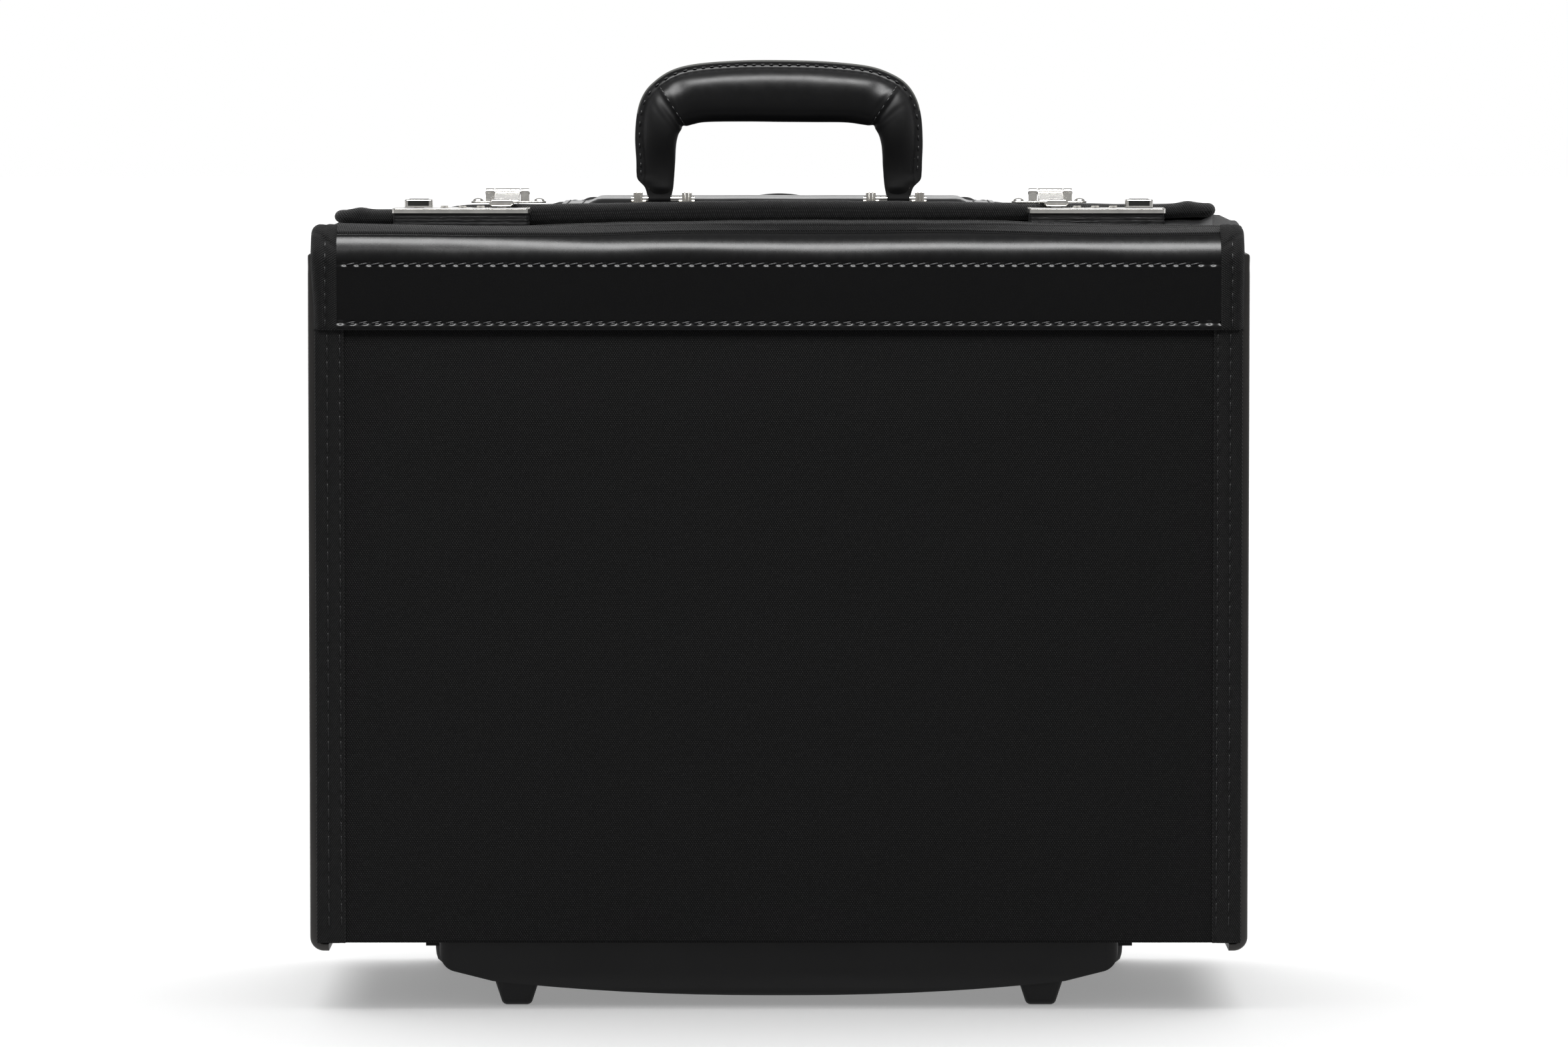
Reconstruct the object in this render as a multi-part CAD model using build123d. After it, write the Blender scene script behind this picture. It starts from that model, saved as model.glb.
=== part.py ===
from build123d import *
import os

# A wheeled catalog case: a soft-covered box with a front flap and a rear lid, a folding carry
# handle, two combination locks, a moulded base with two wheels, and a telescoping trolley.
#
# Sizes are millimetres. +X is to the right seen from the front, +Y runs from front to back and
# +Z is up. While the sub-parts are made, Y is the depth behind the front panel's outer face;
# each one is moved as it is saved, so that the origin lies on the floor below the middle of
# the whole case.

SIDES = {"left": -1, "right": 1}

# The box and its covered boards
CASE_HALF_WIDTH = 232.0
CASE_DEPTH = 220.0
BOARD = 4.0
BOX_BOTTOM = 33.2
FRONT_TOP = 373.4
FLAP_SEAT_TOP = 386.6
LID_SEAT_TOP = 393.3
REAR_SEAT_TOP = 381.0
BACK_TOP = 382.0
FLAP_SEAT_DEPTH = 66.0
DIVIDER_DEPTH = (108.0, 110.5)
DIVIDER_TOP = 250.0

# Leather, tapes and bumpers on the box
LEATHER = 1.6
TAPE = 1.2
LEATHER_HALF_WIDTH = 221.0
BAND_BOTTOM = 340.9
ROLL_RADIUS = 15.6
ROLL_END_ANGLE = 100.0
TAPE_INNER_X = 217.5
CORNER_OUTER_X = 232.3
BUMPER = 3.5
BUMPER_DEPTH = (2.0, 218.0)
BUMPER_TOP = 379.0
BUMPER_BOTTOM = 28.8
BUMPER_LIP_X = 226.0
BUMPER_BEND = 7.0

# The moulded base, its feet and its wheels
TRAY_HALF_WIDTH = 171.0
TRAY_DEPTH = (10.0, 205.0)
TRAY_WALL = 4.0
TRAY_ARC_HALF_WIDTH = 144.0
TRAY_ARC_END_Z = 12.7
TRAY_LOW_Z = 4.9
TRAY_SHOULDER_Z = 19.5
TRAY_EDGE_RADIUS = 6.0
TRAY_NOTCH_X = 153.0
TRAY_NOTCH_DEPTH = 148.0
FOOT_X = 132.0
FOOT_DEPTH = (14.0, 40.0)
FOOT_HALF_BOTTOM = 7.1
FOOT_HALF_TOP = 12.4
FOOT_TOP = 16.0
WHEEL_X = 170.0
WHEEL_DEPTH = 195.0
WHEEL_RADIUS = 32.0
WHEEL_WIDTH = 20.0
TYRE_INNER_RADIUS = 20.0
BEARING_RADIUS = 11.0
BEARING_WIDTH = 7.0
BEARING_BORE = 4.0
AXLE_RADIUS = 3.95
HOUSING_HALF_WIDTH = 14.0
HOUSING_WALL = 2.5
HOUSING_DEPTH = (152.0, 222.0)
HOUSING_Z = (14.0, 68.0)
HOUSING_BEND = 30.0

# The trolley
TUBE_X = 95.0
TUBE_DEPTH = 231.5
OUTER_TUBE = (16.0, 11.0, 1.0)
MID_TUBE = (13.6, 8.6, 0.9)
INNER_TUBE = (11.4, 6.4, 0.8)
OUTER_TUBE_Z = (46.0, 362.0)
MID_TUBE_Z = (48.0, 364.5)
INNER_TUBE_Z = (50.0, 392.0)
TROLLEY_HALF_WIDTH = 108.0
TOP_BRACKET_Z = (346.0, 362.0)
BOTTOM_BRACKET_Z = (42.0, 58.0)
BRACKET_BACK = 241.0
GRIP_DEPTH = (223.0, 240.0)
GRIP_Z = (366.0, 402.0)
GRIP_BAR_Z = 384.0
GRIP_LEG_X = 80.0
GRIP_POCKET_Z = 394.0
BUTTON_LENGTH = 40.0
BUTTON_WIDTH = 9.0
BUTTON_GAP = 0.25
BUTTON_Z = (397.2, 403.9)
BUTTON_DOME = 66.0

# The rear lid
LID_DEPTH = (58.0, 204.0)
LID_HALF_WIDTH = 223.0
LID_BOARD_Z = (395.7, 400.2)
LID_BINDING_Z = (394.5, 402.9)
BINDING_WALL = 1.2
BINDING_REACH = 12.0
LID_CORNER = 14.0
REAR_ROLL = (204.4, 382.2)
LID_LEATHER_HALF_WIDTH = 112.0
LID_LEATHER_BACK = 198.0
LID_LEATHER_TOP = 401.2
PAD_HALF_WIDTH = 100.0
PAD_DEPTH = (98.0, 190.0)
PAD_TOP = 404.4

# The carry handle on its two rods
ROD_RADIUS = 1.5
ROD_GAP = 0.05
ROD_DEPTH = 80.0
ROD_Z = 404.5
ROD_X = (43.0, 75.0)
POSTS_X = ((44.0, 49.6), (69.0, 74.2))
POST_HALF_DEPTH = 4.5
POST_TOP = 407.9
POST_FOOT = 1.0
TAB_X = 61.0
TAB_HALF_WIDTH = 5.7
TAB_RADIUS = 3.0
HANDLE_HALF_WIDTH = 73.3
HANDLE_INNER_X = 52.4
HANDLE_TOP = 475.2
HANDLE_UNDERSIDE = 442.9
HANDLE_LEG_BOTTOM = 413.0
HANDLE_HALF_DEPTH = 12.0
HANDLE_FOOT_HALF_DEPTH = 4.0
HANDLE_FULL_DEPTH_Z = 442.0
HANDLE_OUTER_BEND = 32.0
HANDLE_INNER_BEND = 14.0
HANDLE_ROUNDING = 8.0
CORE_HALF_THICKNESS = 1.0
CORE_HALF_WIDTH = 3.0
CORE_TOP = 460.0
CORE_EYE_RADIUS = 2.4

# The front flap
FLAP_DEPTH = (13.0, 64.2)
FLAP_BOARD_DEPTH = (17.0, 63.0)
FLAP_BOARD_HALF_WIDTH = 231.0
FLAP_BOARD_Z = (388.0, 392.0)
FLAP_BINDING_Z = (386.8, 393.4)
FLAP_FRONT_BAR = (21.0, 394.9)
FLAP_WINDOW_HALF_WIDTH = 224.0
FLAP_WINDOW_DEPTH = (24.0, 57.0)

# The locks; these are the right-hand one's, and the left-hand one is its mirror image
LOCK_X = (126.0, 194.0)
LOCK_DEPTH = (28.0, 56.0)
LOCK_PAD_Z = (392.0, 400.2)
LOCK_CHAMBER_X = (134.0, 190.0)
LOCK_CHAMBER_DEPTH = (37.0, 51.0)
CAP_RIM = 0.5
CAP_Z = (398.6, 401.0)
DIAL_FIRST_X = 150.5
DIAL_PITCH = 9.1
DIAL_DEPTH = 44.0
DIAL_Z = 397.2
DIAL_RADIUS = 4.8
DIAL_WIDTH = 3.7
DIAL_FACES = 10
DIAL_GROOVE_RADIUS = 0.45
SPINDLE_RADIUS = 1.2
SPINDLE_GAP = 0.05
SPINDLE_EARS_X = ((146.6, 148.2), (171.0, 172.6))
HOOK_X = (137.3, 142.3)
HOOK_DEPTH = (42.0, 45.0)
HOOK_LOW_Z = 398.6
HOOK_SLOT_X = (136.0, 143.6)
HOOK_SLOT_DEPTH = (38.5, 48.0)
SLIDER_X = (174.6, 188.6)
SLIDER_DEPTH = (38.0, 50.0)
SLIDER_Z = (401.3, 405.3)
STEM_X = (179.1, 184.1)
STEM_DEPTH = (42.2, 45.8)
STEM_SLOT_X = (178.9, 189.4)
STEM_FOOT_X = (176.0, 184.5)
STEM_FOOT_Z = (394.4, 396.4)

# The hasps
HASP_X = (118.0, 156.0)
HASP_DEPTH = (60.0, 70.0)
HASP_PLATE = 1.0
HASP_RIVETS_X = (121.5, 152.5)
HASP_RIVET_RADIUS = 2.75
HASP_RIVET_HEIGHT = 1.4
KNUCKLE_RADIUS = 2.0
KNUCKLE_DEPTH = 62.0
KNUCKLE_Z = 408.4
BRACKET_KNUCKLES_X = ((126.5, 130.8), (144.1, 148.5))
ARM_KNUCKLE_X = (131.1, 143.8)
HASP_PIN_RADIUS = 1.0
HASP_PIN_X = (126.2, 148.8)
ARM_THICKNESS = 1.5
THUMB_X = (133.2, 146.4)
THUMB_DEPTH = (36.0, 44.0)
THUMB_Z = (401.6, 405.5)

FRONTMOST = -LEATHER
MIDDLE_DEPTH = (FRONTMOST + BRACKET_BACK) / 2


def block(x, y, z):
    """A box from its low and high limits along each axis."""
    size = (x[1] - x[0], y[1] - y[0], z[1] - z[0])
    low_corner = (Align.MIN, Align.MIN, Align.MIN)
    return Pos(x[0], y[0], z[0]) * Box(*size, align=low_corner)


def rod(radius, x, y, z):
    """A cylinder along X between two limits, on the line at (y, z)."""
    middle = (x[0] + x[1]) / 2
    return Pos(middle, y, z) * Rot(0, 90, 0) * Cylinder(radius, x[1] - x[0])


def outline(*corners):
    """A closed face from corners given as (first, second, corner radius)."""
    points = [corner[:2] for corner in corners]
    radii = [corner[2] for corner in corners]
    return make_face(FilletPolyline(*points, radius=radii, close=True))


def across(face, x):
    """A face drawn in Y and Z, extruded along X between two limits."""
    return extrude(Plane.YZ.offset(x[0]) * face, x[1] - x[0])


def through(face, y):
    """A face drawn in X and Z, extruded along Y between two limits."""
    plane = Plane((0, y[1], 0), x_dir=(1, 0, 0), z_dir=(0, -1, 0))
    return extrude(plane * face, y[1] - y[0])


def upward(face, z):
    """A face drawn in X and Y, extruded along Z between two limits."""
    return extrude(Plane.XY.offset(z[0]) * face, z[1] - z[0])


def span(side, inner, outer):
    """Low and high X limits of something on one side of the middle."""
    return tuple(sorted((side * inner, side * outer)))


def on_side(side, solid):
    """The right-hand solid itself, or its mirror image for the left."""
    return solid if side > 0 else mirror(solid, about=Plane.YZ)


# ---------------------------------------------------------------- the box


def front_panel():
    half = CASE_HALF_WIDTH - BOARD
    return block((-half, half), (0, BOARD), (BOX_BOTTOM, FRONT_TOP))


def back_panel():
    half = CASE_HALF_WIDTH - BOARD
    panel = block((-half, half), (CASE_DEPTH - BOARD, CASE_DEPTH), (BOX_BOTTOM, BACK_TOP))
    return panel - housing_space()


def side_panel(side):
    profile = outline(
        (0, BOX_BOTTOM, 0),
        (CASE_DEPTH, BOX_BOTTOM, 0),
        (CASE_DEPTH, REAR_SEAT_TOP, 6),
        (LID_DEPTH[1], REAR_SEAT_TOP, 0),
        (LID_DEPTH[1], LID_SEAT_TOP, 3),
        (FLAP_SEAT_DEPTH, LID_SEAT_TOP, 2),
        (FLAP_SEAT_DEPTH, FLAP_SEAT_TOP, 0),
        (0, FLAP_SEAT_TOP, FLAP_SEAT_TOP - FRONT_TOP),
    )
    return across(profile, span(side, CASE_HALF_WIDTH - BOARD, CASE_HALF_WIDTH))


def bottom_board():
    half = CASE_HALF_WIDTH - BOARD
    depth = (BOARD, CASE_DEPTH - BOARD)
    board = block((-half, half), depth, (BOX_BOTTOM, BOX_BOTTOM + BOARD))
    return board - housing_space()


def file_divider():
    half = CASE_HALF_WIDTH - BOARD - 2
    return block((-half, half), DIVIDER_DEPTH, (BOX_BOTTOM + BOARD, DIVIDER_TOP))


# ------------------------------------------- leather, tapes and bumpers


def roll(x, centre, start_angle, turn):
    """A leather strip bent round a line along X; angles run from +Y towards +Z."""
    outer = CenterArc(centre, ROLL_RADIUS + LEATHER, start_angle, turn)
    inner = CenterArc(centre, ROLL_RADIUS, start_angle, turn)
    ends = [Line(outer @ 0, inner @ 0), Line(outer @ 1, inner @ 1)]
    return across(make_face([outer, inner, *ends]), x)


def front_roll(x):
    return roll(x, (ROLL_RADIUS, FRONT_TOP), ROLL_END_ANGLE, 180 - ROLL_END_ANGLE)


def front_leather_band():
    width = (-LEATHER_HALF_WIDTH, LEATHER_HALF_WIDTH)
    return block(width, (-LEATHER, 0), (BAND_BOTTOM, FRONT_TOP))


def front_leather_hinge():
    return front_roll((-LEATHER_HALF_WIDTH, LEATHER_HALF_WIDTH))


def corner_binding(side):
    width = span(side, LEATHER_HALF_WIDTH, CORNER_OUTER_X)
    strip = block(width, (-LEATHER, 0), (BAND_BOTTOM + 0.1, FRONT_TOP))
    return strip + front_roll(width)


def edge_tapes():
    tapes = []
    for side in SIDES.values():
        width = span(side, TAPE_INNER_X, CASE_HALF_WIDTH)
        tapes.append(block(width, (-TAPE, 0), (BOX_BOTTOM, BAND_BOTTOM)))
        rear_width = span(side, LEATHER_HALF_WIDTH, CASE_HALF_WIDTH)
        rear_depth = (CASE_DEPTH, CASE_DEPTH + TAPE)
        tapes.append(block(rear_width, rear_depth, (BOX_BOTTOM, REAR_SEAT_TOP - 6)))
    return Compound(tapes)


def rear_leather_hinge():
    width = (-LEATHER_HALF_WIDTH, LEATHER_HALF_WIDTH)
    strip = block(width, (CASE_DEPTH, CASE_DEPTH + LEATHER), (BAND_BOTTOM, REAR_ROLL[1]))
    return strip + roll(width, REAR_ROLL, 0, 90)


def side_bumper(side):
    outer_x = CASE_HALF_WIDTH + BUMPER
    profile = outline(
        (BUMPER_LIP_X, BOX_BOTTOM, 0),
        (BUMPER_LIP_X, BUMPER_BOTTOM, 2),
        (outer_x, BUMPER_BOTTOM, BUMPER_BEND),
        (outer_x, BUMPER_TOP, 2.5),
        (CASE_HALF_WIDTH, BUMPER_TOP, 0),
        (CASE_HALF_WIDTH, BOX_BOTTOM, 0),
    )
    return on_side(side, through(profile, BUMPER_DEPTH))


# --------------------------------------------------- base, feet and wheels


def tray_form(inset):
    """The tray's outer form, or with an inset the space inside it."""
    half = TRAY_HALF_WIDTH - inset
    top = BOX_BOTTOM + (1 if inset else 0)
    arc_half = TRAY_ARC_HALF_WIDTH
    arc_end = TRAY_ARC_END_Z + inset
    shoulder = TRAY_SHOULDER_Z + inset
    bend = 10.0 - inset
    path = [
        Line((-half, top), (half, top)),
        FilletPolyline((half, top), (half, shoulder), (arc_half, arc_end), radius=bend),
        ThreePointArc((arc_half, arc_end), (0, TRAY_LOW_Z + inset), (-arc_half, arc_end)),
        FilletPolyline((-arc_half, arc_end), (-half, shoulder), (-half, top), radius=bend),
    ]
    front = TRAY_DEPTH[0] + inset
    back = TRAY_DEPTH[1] - inset
    low = TRAY_LOW_Z + inset - 0.1
    edge = TRAY_EDGE_RADIUS
    from_side = outline((front, low, edge), (back, low, edge), (back, top, 0), (front, top, 0))
    from_above = outline((-half, front, edge), (half, front, edge), (half, back, 0), (-half, back, 0))
    form = through(make_face(path), (front, back))
    form &= across(from_side, (-half, half))
    form &= upward(from_above, (low, top))
    for side in SIDES.values():
        notch_x = span(side, TRAY_NOTCH_X - inset, TRAY_HALF_WIDTH + 1)
        notch_y = (TRAY_NOTCH_DEPTH - inset, TRAY_DEPTH[1] + 1)
        form -= block(notch_x, notch_y, (0, top + 1))
    return form


def is_along_y(edge):
    return abs((edge @ 1).Y - (edge @ 0).Y) > 1


def base_tray():
    return tray_form(0) - tray_form(TRAY_WALL)


def front_foot(side):
    profile = outline(
        (-FOOT_HALF_BOTTOM, 0, 3),
        (FOOT_HALF_BOTTOM, 0, 3),
        (FOOT_HALF_TOP, FOOT_TOP, 0),
        (-FOOT_HALF_TOP, FOOT_TOP, 0),
    )
    foot = through(profile, FOOT_DEPTH)
    upright = foot.edges().filter_by(lambda edge: abs((edge @ 1).Z - (edge @ 0).Z) > 8)
    return Pos(side * FOOT_X, 0, 0) * fillet(upright, 4) - tray_form(0)


def housing_limits(side, wall=0.0):
    inner = WHEEL_X - HOUSING_HALF_WIDTH + wall
    outer = WHEEL_X + HOUSING_HALF_WIDTH - wall
    return span(side, inner, outer)


def housing_space():
    """The openings that the wheel housings need in the boards."""
    left, right = (
        block(housing_limits(side), HOUSING_DEPTH, HOUSING_Z) for side in SIDES.values()
    )
    return left + right


def wheel_housing(side):
    front, back = HOUSING_DEPTH
    low, high = HOUSING_Z
    outer = outline((front, low, 0), (back, low, 0), (back, high, 0), (front, high, HOUSING_BEND))
    slot_front = front + HOUSING_WALL
    slot_top = high - HOUSING_WALL
    bend = HOUSING_BEND - HOUSING_WALL
    slot = outline(
        (slot_front, low - 1, 0),
        (back + 1, low - 1, 0),
        (back + 1, slot_top, 0),
        (slot_front, slot_top, bend),
    )
    shell = across(outer, housing_limits(side)) - across(slot, housing_limits(side, HOUSING_WALL))
    return shell - wheel_axle(side)


def wheel_axle(side):
    return rod(AXLE_RADIUS, housing_limits(side), WHEEL_DEPTH, WHEEL_RADIUS)


def wheel_disc(side, radius, from_middle=(-WHEEL_WIDTH / 2, WHEEL_WIDTH / 2)):
    """A disc about the axle; its limits are distances from the wheel's own middle."""
    middle = side * WHEEL_X
    x = (middle + from_middle[0], middle + from_middle[1])
    return rod(radius, x, WHEEL_DEPTH, WHEEL_RADIUS)


def tyre(side):
    tread = wheel_disc(side, WHEEL_RADIUS)
    tread = fillet(tread.edges().filter_by(GeomType.CIRCLE), 5)
    return tread - wheel_disc(side, TYRE_INNER_RADIUS)


def bearing_places():
    half = WHEEL_WIDTH / 2
    return ((-half, -half + BEARING_WIDTH), (half - BEARING_WIDTH, half))


def hub(side):
    wheel_hub = wheel_disc(side, TYRE_INNER_RADIUS) - wheel_disc(side, BEARING_RADIUS - 2)
    for place in bearing_places():
        wheel_hub -= wheel_disc(side, BEARING_RADIUS, place)
    return wheel_hub


def bearings(side):
    rings = []
    for place in bearing_places():
        rings.append(wheel_disc(side, BEARING_RADIUS, place) - wheel_disc(side, BEARING_BORE, place))
    return Compound(rings)


# ------------------------------------------------------------- the trolley


def tube_form(side, size, inset=0.0):
    corner = 1.5 - inset
    width = size[0] - 2 * inset
    depth = size[1] - 2 * inset
    return Pos(side * TUBE_X, TUBE_DEPTH) * RectangleRounded(width, depth, corner)


def tube(side, size, z):
    wall = size[2]
    return upward(tube_form(side, size) - tube_form(side, size, wall), z)


def bracket(front, z):
    width = 2 * TROLLEY_HALF_WIDTH
    depth = BRACKET_BACK - front
    form = Pos(0, front + depth / 2) * RectangleRounded(width, depth, 4)
    for side in SIDES.values():
        form -= tube_form(side, OUTER_TUBE)
    return upward(form, z)


def trolley_grip():
    low, high = GRIP_Z
    half = TROLLEY_HALF_WIDTH
    profile = outline(
        (-half, low, 0),
        (-half, high, 10),
        (half, high, 10),
        (half, low, 0),
        (GRIP_LEG_X, low, 0),
        (GRIP_LEG_X, GRIP_BAR_Z, 6),
        (-GRIP_LEG_X, GRIP_BAR_Z, 6),
        (-GRIP_LEG_X, low, 0),
    )
    grip = through(profile, GRIP_DEPTH)
    rounded = grip.edges().filter_by(lambda edge: not is_along_y(edge) and (edge @ 0.5).Z > low + 1)
    grip = fillet(rounded, 3)
    for side in SIDES.values():
        grip -= upward(tube_form(side, INNER_TUBE), INNER_TUBE_Z)
    return grip - button_prism(BUTTON_GAP, (GRIP_POCKET_Z, high + 1))


def button_prism(gap, z):
    slot = SlotOverall(BUTTON_LENGTH + 2 * gap, BUTTON_WIDTH + 2 * gap)
    return upward(Pos(0, TUBE_DEPTH) * slot, z)


def trolley_button():
    centre_z = BUTTON_Z[1] - BUTTON_DOME
    dome = Pos(0, TUBE_DEPTH, centre_z) * Rot(90, 0, 0) * Cylinder(BUTTON_DOME, 2 * BUTTON_WIDTH)
    return button_prism(0, BUTTON_Z) & dome


# ----------------------------------------------------------------- the lid


def plan_form(half_width, depth, front_corner, z):
    """A board seen from above, with round front corners and square back ones."""
    front, back = depth
    form = outline(
        (-half_width, back, 0),
        (half_width, back, 0),
        (half_width, front, front_corner),
        (-half_width, front, front_corner),
    )
    return upward(form, z)


def lid_board():
    depth = (LID_DEPTH[0] + BINDING_WALL, LID_DEPTH[1])
    half = LID_HALF_WIDTH - BINDING_WALL
    return plan_form(half, depth, LID_CORNER - BINDING_WALL, LID_BOARD_Z)


def lid_binding():
    binding = plan_form(LID_HALF_WIDTH, LID_DEPTH, LID_CORNER, LID_BINDING_Z) - lid_board()
    half = LID_HALF_WIDTH - BINDING_REACH
    window_depth = (LID_DEPTH[0] + BINDING_REACH, LID_DEPTH[1] + 1)
    for z in ((LID_BOARD_Z[1], LID_BINDING_Z[1] + 1), (LID_BINDING_Z[0] - 1, LID_BOARD_Z[0])):
        binding -= block((-half, half), window_depth, z)
    return binding


def lid_leather_panel():
    front = LID_DEPTH[0] + BINDING_REACH
    sheet = block(
        (-LID_LEATHER_HALF_WIDTH, LID_LEATHER_HALF_WIDTH),
        (front, LID_LEATHER_BACK),
        (LID_BOARD_Z[1], LID_LEATHER_TOP),
    )
    pad = block((-PAD_HALF_WIDTH, PAD_HALF_WIDTH), PAD_DEPTH, (LID_LEATHER_TOP, PAD_TOP))
    pad = chamfer(pad.edges().group_by(Axis.Z)[-1], 3, 8)
    return sheet + pad


# ---------------------------------------------------------- the carry handle


def handle_rod(side, gap=0.0):
    return rod(ROD_RADIUS + gap, span(side, *ROD_X), ROD_DEPTH, ROD_Z)


def handle_posts():
    posts = []
    depth = (ROD_DEPTH - POST_HALF_DEPTH, ROD_DEPTH + POST_HALF_DEPTH)
    for side in SIDES.values():
        for inner, outer in POSTS_X:
            post = block(span(side, inner, outer), depth, (LID_LEATHER_TOP, POST_TOP))
            post = fillet(post.edges().filter_by(Axis.X).group_by(Axis.Z)[-1], 3)
            foot_x = span(side, inner - 1.5, outer + 1.5)
            foot_depth = (depth[0] - 1.5, depth[1] + 1.5)
            foot = block(foot_x, foot_depth, (LID_LEATHER_TOP, LID_LEATHER_TOP + POST_FOOT))
            posts.append(post + foot - handle_rod(side))
    return Compound(posts)


def handle_pins():
    return Compound([handle_rod(side) for side in SIDES.values()])


def handle_core():
    """The steel strap inside the handle, with an eye on each rod."""
    thickness = (ROD_DEPTH - CORE_HALF_THICKNESS, ROD_DEPTH + CORE_HALF_THICKNESS)
    reach = TAB_X + CORE_HALF_WIDTH
    bar_low = CORE_TOP - 2 * CORE_HALF_WIDTH
    core = block((-reach, reach), thickness, (bar_low, CORE_TOP))
    for side in SIDES.values():
        leg_x = span(side, TAB_X - CORE_HALF_WIDTH, reach)
        core += block(leg_x, thickness, (ROD_Z, CORE_TOP))
        core += rod(CORE_EYE_RADIUS, leg_x, ROD_DEPTH, ROD_Z)
    for side in SIDES.values():
        core -= handle_rod(side, ROD_GAP)
    return core


def handle_grip():
    profile = outline(
        (HANDLE_HALF_WIDTH, HANDLE_LEG_BOTTOM, 5),
        (HANDLE_HALF_WIDTH, HANDLE_TOP, HANDLE_OUTER_BEND),
        (-HANDLE_HALF_WIDTH, HANDLE_TOP, HANDLE_OUTER_BEND),
        (-HANDLE_HALF_WIDTH, HANDLE_LEG_BOTTOM, 5),
        (-HANDLE_INNER_X, HANDLE_LEG_BOTTOM, 5),
        (-HANDLE_INNER_X, HANDLE_UNDERSIDE, HANDLE_INNER_BEND),
        (HANDLE_INNER_X, HANDLE_UNDERSIDE, HANDLE_INNER_BEND),
        (HANDLE_INNER_X, HANDLE_LEG_BOTTOM, 5),
    )
    grip = through(profile, (ROD_DEPTH - HANDLE_HALF_DEPTH, ROD_DEPTH + HANDLE_HALF_DEPTH))
    long_edges = grip.edges().filter_by(lambda edge: not is_along_y(edge))
    grip = fillet(long_edges, HANDLE_ROUNDING)
    from_side = outline(
        (ROD_DEPTH - HANDLE_HALF_DEPTH, HANDLE_TOP + 1, 0),
        (ROD_DEPTH - HANDLE_HALF_DEPTH, HANDLE_FULL_DEPTH_Z, 10),
        (ROD_DEPTH - HANDLE_FOOT_HALF_DEPTH, HANDLE_LEG_BOTTOM, 0),
        (ROD_DEPTH + HANDLE_FOOT_HALF_DEPTH, HANDLE_LEG_BOTTOM, 0),
        (ROD_DEPTH + HANDLE_HALF_DEPTH, HANDLE_FULL_DEPTH_Z, 10),
        (ROD_DEPTH + HANDLE_HALF_DEPTH, HANDLE_TOP + 1, 0),
    )
    grip &= across(from_side, (-HANDLE_HALF_WIDTH, HANDLE_HALF_WIDTH))
    for side in SIDES.values():
        tab_x = span(side, TAB_X - TAB_HALF_WIDTH, TAB_X + TAB_HALF_WIDTH)
        tab_y = (ROD_DEPTH - TAB_RADIUS, ROD_DEPTH + TAB_RADIUS)
        grip += block(tab_x, tab_y, (ROD_Z, HANDLE_LEG_BOTTOM + 8))
        grip += rod(TAB_RADIUS, tab_x, ROD_DEPTH, ROD_Z)
    for side in SIDES.values():
        grip -= handle_rod(side, ROD_GAP)
    return grip - handle_core()


# ----------------------------------------------------------- the front flap


def flap_board():
    half = FLAP_BOARD_HALF_WIDTH
    return block((-half, half), FLAP_BOARD_DEPTH, FLAP_BOARD_Z)


def flap_binding():
    half = CORNER_OUTER_X
    binding = block((-half, half), FLAP_DEPTH, FLAP_BINDING_Z)
    bar_depth, bar_top = FLAP_FRONT_BAR
    front_bar = block((-half, half), (FLAP_DEPTH[0], bar_depth), (FLAP_BINDING_Z[0], bar_top))
    front_bar = fillet(front_bar.edges().filter_by(Axis.X).group_by(Axis.Z)[-1], 2)
    binding = binding + front_bar - flap_board()
    window_half = FLAP_WINDOW_HALF_WIDTH
    for z in ((FLAP_BOARD_Z[1], bar_top + 1), (FLAP_BINDING_Z[0] - 1, FLAP_BOARD_Z[0])):
        binding -= block((-window_half, window_half), FLAP_WINDOW_DEPTH, z)
    return binding


# ---------------------------------------------------------------- the locks


def lock_pad():
    pad = block(LOCK_X, LOCK_DEPTH, LOCK_PAD_Z)
    pad = fillet(pad.edges().filter_by(Axis.Z), 2)
    return pad - block(LOCK_CHAMBER_X, LOCK_CHAMBER_DEPTH, (LOCK_PAD_Z[0] - 1, LOCK_PAD_Z[1] + 1))


def lock_pads():
    return Compound([on_side(side, lock_pad()) for side in SIDES.values()])


def dial_x(number):
    """The limits of dial 1, 2 or 3, counted outwards from the hasp."""
    middle = DIAL_FIRST_X + DIAL_PITCH * (number - 1)
    return (middle - DIAL_WIDTH / 2, middle + DIAL_WIDTH / 2)


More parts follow.
